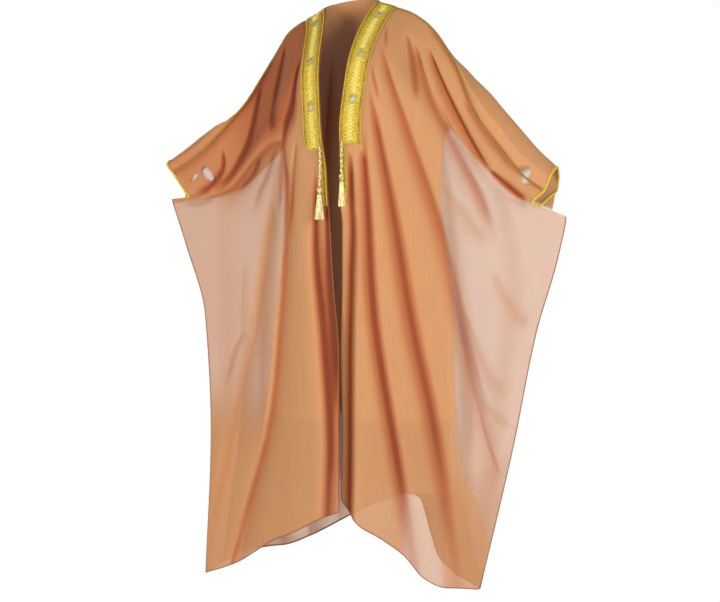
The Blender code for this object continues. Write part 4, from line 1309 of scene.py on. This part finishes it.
def make_cuff_cord(is_left):
    """Gold cord round the edge of a cuff."""
    rows = np.linspace(CUFF_T, 0.0006, 40)
    side_top = float(side_x(is_left, 0.0))
    back_edge = back_form(np.full(40, side_top), rows)[0]
    back_inner = back_form(np.full(40, side_top * 0.98), rows)[0]
    front_edge = front_form(is_left, np.full(40, 1.0), rows[::-1])[0]
    front_inner = front_form(is_left, np.full(40, 0.98), rows[::-1])[0]
    edge = np.vstack([back_edge, front_edge[1:]])
    inner = np.vstack([back_inner, front_inner[1:]])
    along = unit(np.gradient(edge, axis=0))
    out = edge - inner
    out = unit(out - along * (out * along).sum(axis=1, keepdims=True))
    path = edge + out * CUFF_CORD_RISE
    path = np.vstack([path, path[:1]])
    path = evenly(smooth_path(evenly(path, 0.012), 4), 0.002)
    add_twist(pick(is_left, "cuff_cord_left", "cuff_cord_right"), path, CUFF_TWIST, "cuff")


def tie_path(is_left):
    """Centre line of a tie cord, sewn on the lower end of its band."""
    share = float(band_share(is_left, BAND_END))
    x, y, z = (float(v) for v in front_form(is_left, 0.16 * share, BAND_END)[0])
    out = 0.5 * CLOTH_WALL + 4.0 * GAP + TRIM_WALL + TIE_RADIUS
    top = np.array([x, y - out, z + TIE_OVERLAP])
    u = np.linspace(0.0, 1.0, 25)[:, None]
    sway = pick(is_left, -0.001, 0.002)
    length = pick(is_left, TIE_LENGTH_LEFT, TIE_LENGTH_RIGHT)
    return top + np.hstack([sway * np.sin(math.pi * u), -0.004 * np.sin(0.5 * math.pi * u),
                            -length * u])


def floss_threads(foot, neck, is_left):
    """Threads of a tassel in three rings, with their radii."""
    spread_out = pick(is_left, 0.66, 0.95)
    down = np.linspace(0.0, 1.0, 9)
    fan = ramp(0.0, 1.0, down) * 0.4 + 0.6 * down
    paths = []
    # each ring's share of the threads and of the outer ring's reach
    for ring, (share, size) in enumerate(((1.0, 1.0), (0.73, 0.72), (0.40, 0.40))):
        count = int(round(bpy.context.scene.bisht_gold.floss_threads * share))
        for k in range(count):
            wave = 0.35 * math.sin(2.4 * k + ring)
            out = size * mix(TASSEL_TOP * 0.92, TASSEL_FOOT * spread_out, fan)
            bearing = 2.0 * math.pi * (k + 0.5 * ring) / count + 0.10 * wave * down
            drop = neck + 0.0005 + down * (TASSEL_LENGTH - 0.0008 - 0.0016 * abs(wave))
            paths.append(foot + np.column_stack([out * np.cos(bearing), out * np.sin(bearing),
                                                 -drop]))
    return paths, [mix(0.00048, 0.00085, down)] * len(paths)


def make_tie(is_left):
    """A two-strand gilt tie cord with its knot and tassel."""
    look = bpy.context.scene.bisht_gold
    suffix = pick(is_left, "left", "right")
    path = tie_path(is_left)
    strand = 0.5 * TIE_RADIUS
    tie = add_cords("gilt_tie_" + suffix, strand_paths(path, strand, 2, look.tie_turn, 20),
                    [strand * 1.05] * 2, "tie", "gold_cord", ("tie_" + suffix,), 2)
    foot = path[-1] - (0.0, 0.0, 2.0 * GAP)
    neck = 2.3 * KNOT_RADIUS
    # the knot, in shares of its radius, and the flat top of the floss below it
    knot = ((0.0, 0.0), (0.50, 0.0), (0.85, 0.35), (1.0, 0.9), (0.98, 1.3), (0.80, 1.8))
    profile = [(out * KNOT_RADIUS, down * KNOT_RADIUS) for out, down in knot]
    profile += [(0.92 * TASSEL_TOP, neck), (0.0, neck + 0.001)]
    head = add_object("tassel_head_" + suffix,
                      turned_mesh("tassel_head_" + suffix, profile, tuple(foot), 24),
                      finish("tie"))
    turns = np.linspace(0.0, 2.0 * math.pi * 3.0, 90)
    wrap = foot + np.column_stack([TASSEL_TOP * 1.02 * np.cos(turns),
                                   TASSEL_TOP * 1.02 * np.sin(turns),
                                   -neck - 0.0012 - 0.0026 * turns / turns[-1]])
    wrapping = add_cords("tassel_wrap_" + suffix, [wrap], [0.0007], "cord", "tassel")
    floss = add_cords("tassel_floss_" + suffix, *floss_threads(foot, neck, is_left), "pale",
                      "tassel", ("tassel_" + suffix,))


def make_camera():
    """Camera, level with the middle of the cloak and 18 degrees round from the front."""
    scene = bpy.context.scene
    bearing = math.radians(18.0)
    away = np.array([math.sin(bearing), -math.cos(bearing), 0.0])
    distance, metres_per_pixel = 4.6, 0.00256
    image_width, image_height = 720, 602
    middle_x, middle_y = 351.0, 188.0
    camera = bpy.data.cameras.new("studio_camera")
    camera.sensor_width = 36.0
    camera.lens = 36.0 * distance / (image_width * metres_per_pixel)
    camera.shift_x = (0.5 * image_width - middle_x) / image_width
    camera.shift_y = -(0.5 * image_height - middle_y) / image_width
    holder = bpy.data.objects.new("studio_camera", camera)
    holder.location = away * distance + (0.0, 0.0, -0.45)
    holder.rotation_euler = (0.5 * math.pi, 0.0, bearing)
    scene.collection.objects.link(holder)
    scene.camera = holder


def white_paper(glow):
    """Matt white studio paper, lit a little from within so that it shows no horizon."""
    made, tree, shader = new_material("matt_white_paper")
    place = add_node(tree, "TexCoord", (), "Object")
    grain = add_node(tree, "TexNoise", {"Vector": place, "Scale": 60.0}, "Fac")
    seen = add_node(tree, "LightPath", (), "Is Camera Ray")
    paper = add_node(tree, "Mix", {0: grain, 6: linear("#fbfbfa"), 7: linear("#ffffff")}, 2,
                     data_type="RGBA")
    feed(tree, shader, {
        "Base Color": add_node(tree, "Mix", {0: seen, 6: paper, 7: linear("#101010")}, 2,
                               data_type="RGBA"),
        "Emission Strength": add_node(tree, "MapRange", (seen, 0.0, 1.0, 0.0, glow)),
        "Emission Color": (1.0, 1.0, 1.0, 1.0), "Roughness": 0.9, "Specular IOR Level": 0.0})
    return made


def make_stage():
    """Camera, floor and soft studio light."""
    scene = bpy.context.scene
    look = scene.bisht_studio
    scene.cycles.transparent_max_bounces = 32
    scene.view_settings.view_transform = "Standard"
    make_camera()
    mesh = bpy.data.meshes.new("studio_floor")
    work = bmesh.new()
    bmesh.ops.create_grid(work, x_segments=2, y_segments=2, size=FLOOR_REACH)
    bmesh.ops.translate(work, verts=work.verts, vec=(0.0, 0.0, FLOOR_Z))
    work.to_mesh(mesh)
    work.free()
    mesh.materials.append(white_paper(look.floor_glow))
    floor = bpy.data.objects.new("studio_floor", mesh)
    scene.collection.objects.link(floor)

    world = bpy.data.worlds.new("studio_world")
    world.use_nodes = True
    # the backdrop stays white while the room's own light is softer
    tree = world.node_tree
    seen = add_node(tree, "LightPath", (), "Is Camera Ray")
    strength = add_node(tree, "MapRange", (seen, 0.0, 1.0, look.room, 1.0))
    feed(tree, tree.nodes["Background"], {"Color": (1.0, 1.0, 1.0, 1.0), "Strength": strength})
    scene.world = world
    # softboxes: place, side of the square in metres and power
    for name, place, size, power in (
            ("key_softbox", (2.9, -2.7, 0.1), 1.6, look.key),
            ("fill_softbox", (-1.9, -3.8, -0.5), 2.2, look.fill),
            ("top_softbox", (0.0, -0.6, 3.2), 3.6, look.top),
            ("low_softbox", (-0.5, -3.0, -1.15), 0.5, look.low),
            ("rear_softbox", (-2.0, 3.6, 1.0), 2.0, look.rear)):
        lamp = bpy.data.lights.new(name, "AREA")
        lamp.shape = "SQUARE"
        lamp.size = size
        lamp.energy = power
        holder = bpy.data.objects.new(name, lamp)
        holder.location = place
        aim = np.array(LIGHT_AIM) - np.array(place)
        flat = math.hypot(aim[0], aim[1])
        holder.rotation_euler = (math.atan2(flat, -aim[2]), 0.0, math.atan2(-aim[0], aim[1]))
        scene.collection.objects.link(holder)


# ---------------------------------------------------------------- operators
def on_both_sides(make):
    """Makes a piece on the wearer's left, then the right, and gives the operator's result."""
    for is_left in (True, False):
        make(is_left)
    return {"FINISHED"}


class BISHT_OT_stage(bpy.types.Operator):
    """Set the camera, the white floor and the soft studio light"""

    bl_idname = "bisht.stage"
    bl_label = "Stage"

    def execute(self, context):
        make_stage()
        return {"FINISHED"}


class BISHT_OT_ties(bpy.types.Operator):
    """Hang the two twisted tie cords with their knots and tassels"""

    bl_idname = "bisht.ties"
    bl_label = "Ties and tassels"

    def execute(self, context):
        return on_both_sides(make_tie)


class BISHT_OT_front_panels(bpy.types.Operator):
    """Hang the two front panels, each with its sleeve, wing and rolled hem"""

    bl_idname = "bisht.front_panels"
    bl_label = "Front panels"

    def execute(self, context):
        return on_both_sides(make_front_panel)


class BISHT_OT_back_panel(bpy.types.Operator):
    """Hang the back panel with both sleeve backs"""

    bl_idname = "bisht.back_panel"
    bl_label = "Back panel"

    def execute(self, context):
        make_back_panel()
        return {"FINISHED"}


class BISHT_OT_side_seams(bpy.types.Operator):
    """Sew the side seams from the wrists to the hem"""

    bl_idname = "bisht.side_seams"
    bl_label = "Side seams"

    def execute(self, context):
        return on_both_sides(make_side_seam)


class BISHT_OT_front_bands(bpy.types.Operator):
    """Sew the woven gold bands, their braid, chains and lozenges on the front edges"""

    bl_idname = "bisht.front_bands"
    bl_label = "Front bands"

    def execute(self, context):
        return on_both_sides(make_band)


class BISHT_OT_edgings(bpy.types.Operator):
    """Sew the narrow gold edgings below the bands"""

    bl_idname = "bisht.edgings"
    bl_label = "Edgings"

    def execute(self, context):
        return on_both_sides(make_edging)


class BISHT_OT_neck_band(bpy.types.Operator):
    """Sew the gold band round the back of the neck"""

    bl_idname = "bisht.neck_band"
    bl_label = "Neck band"

    def execute(self, context):
        make_neck_band()
        return {"FINISHED"}


class BISHT_OT_shoulder_cords(bpy.types.Operator):
    """Lay the gold cords along the shoulder seams"""

    bl_idname = "bisht.shoulder_cords"
    bl_label = "Shoulder cords"

    def execute(self, context):
        return on_both_sides(make_shoulder_cord)


class BISHT_OT_cuff_cords(bpy.types.Operator):
    """Lay the gold cords round the cuffs"""

    bl_idname = "bisht.cuff_cords"
    bl_label = "Cuff cords"

    def execute(self, context):
        return on_both_sides(make_cuff_cord)


GROUPS = (BishtCloth, BishtGold, BishtStudio)
OPERATORS = (BISHT_OT_stage, BISHT_OT_ties, BISHT_OT_front_panels, BISHT_OT_back_panel,
             BISHT_OT_side_seams, BISHT_OT_front_bands, BISHT_OT_edgings, BISHT_OT_neck_band,
             BISHT_OT_shoulder_cords, BISHT_OT_cuff_cords)


class BISHT_PT_panel(bpy.types.Panel):
    """Lists the steps that build the cloak, and the sizes and colours to change first"""

    bl_idname = "BISHT_PT_panel"
    bl_label = "Bisht cloak"
    bl_space_type = "VIEW_3D"
    bl_region_type = "UI"
    bl_category = "Bisht"

    def draw(self, context):
        layout = self.layout
        scene = context.scene
        for title, look in (("Cloth", scene.bisht_cloth), ("Gold", scene.bisht_gold),
                            ("Studio", scene.bisht_studio)):
            box = layout.box()
            box.label(text=title)
            for name in type(look).__annotations__:
                box.prop(look, name)
        for step in OPERATORS:
            layout.operator(step.bl_idname)


def register():
    for kind in GROUPS + OPERATORS + (BISHT_PT_panel,):
        bpy.utils.register_class(kind)
    bpy.types.Scene.bisht_cloth = PointerProperty(type=BishtCloth)
    bpy.types.Scene.bisht_gold = PointerProperty(type=BishtGold)
    bpy.types.Scene.bisht_studio = PointerProperty(type=BishtStudio)


def unregister():
    del bpy.types.Scene.bisht_studio
    del bpy.types.Scene.bisht_gold
    del bpy.types.Scene.bisht_cloth
    for kind in reversed(GROUPS + OPERATORS + (BISHT_PT_panel,)):
        bpy.utils.unregister_class(kind)


def main():
    register()
    bpy.ops.bisht.stage()
    bpy.ops.bisht.ties()
    bpy.ops.bisht.front_panels()
    bpy.ops.bisht.back_panel()
    bpy.ops.bisht.side_seams()
    bpy.ops.bisht.front_bands()
    bpy.ops.bisht.edgings()
    bpy.ops.bisht.neck_band()
    bpy.ops.bisht.shoulder_cords()
    bpy.ops.bisht.cuff_cords()


if __name__ == "__main__":
    main()
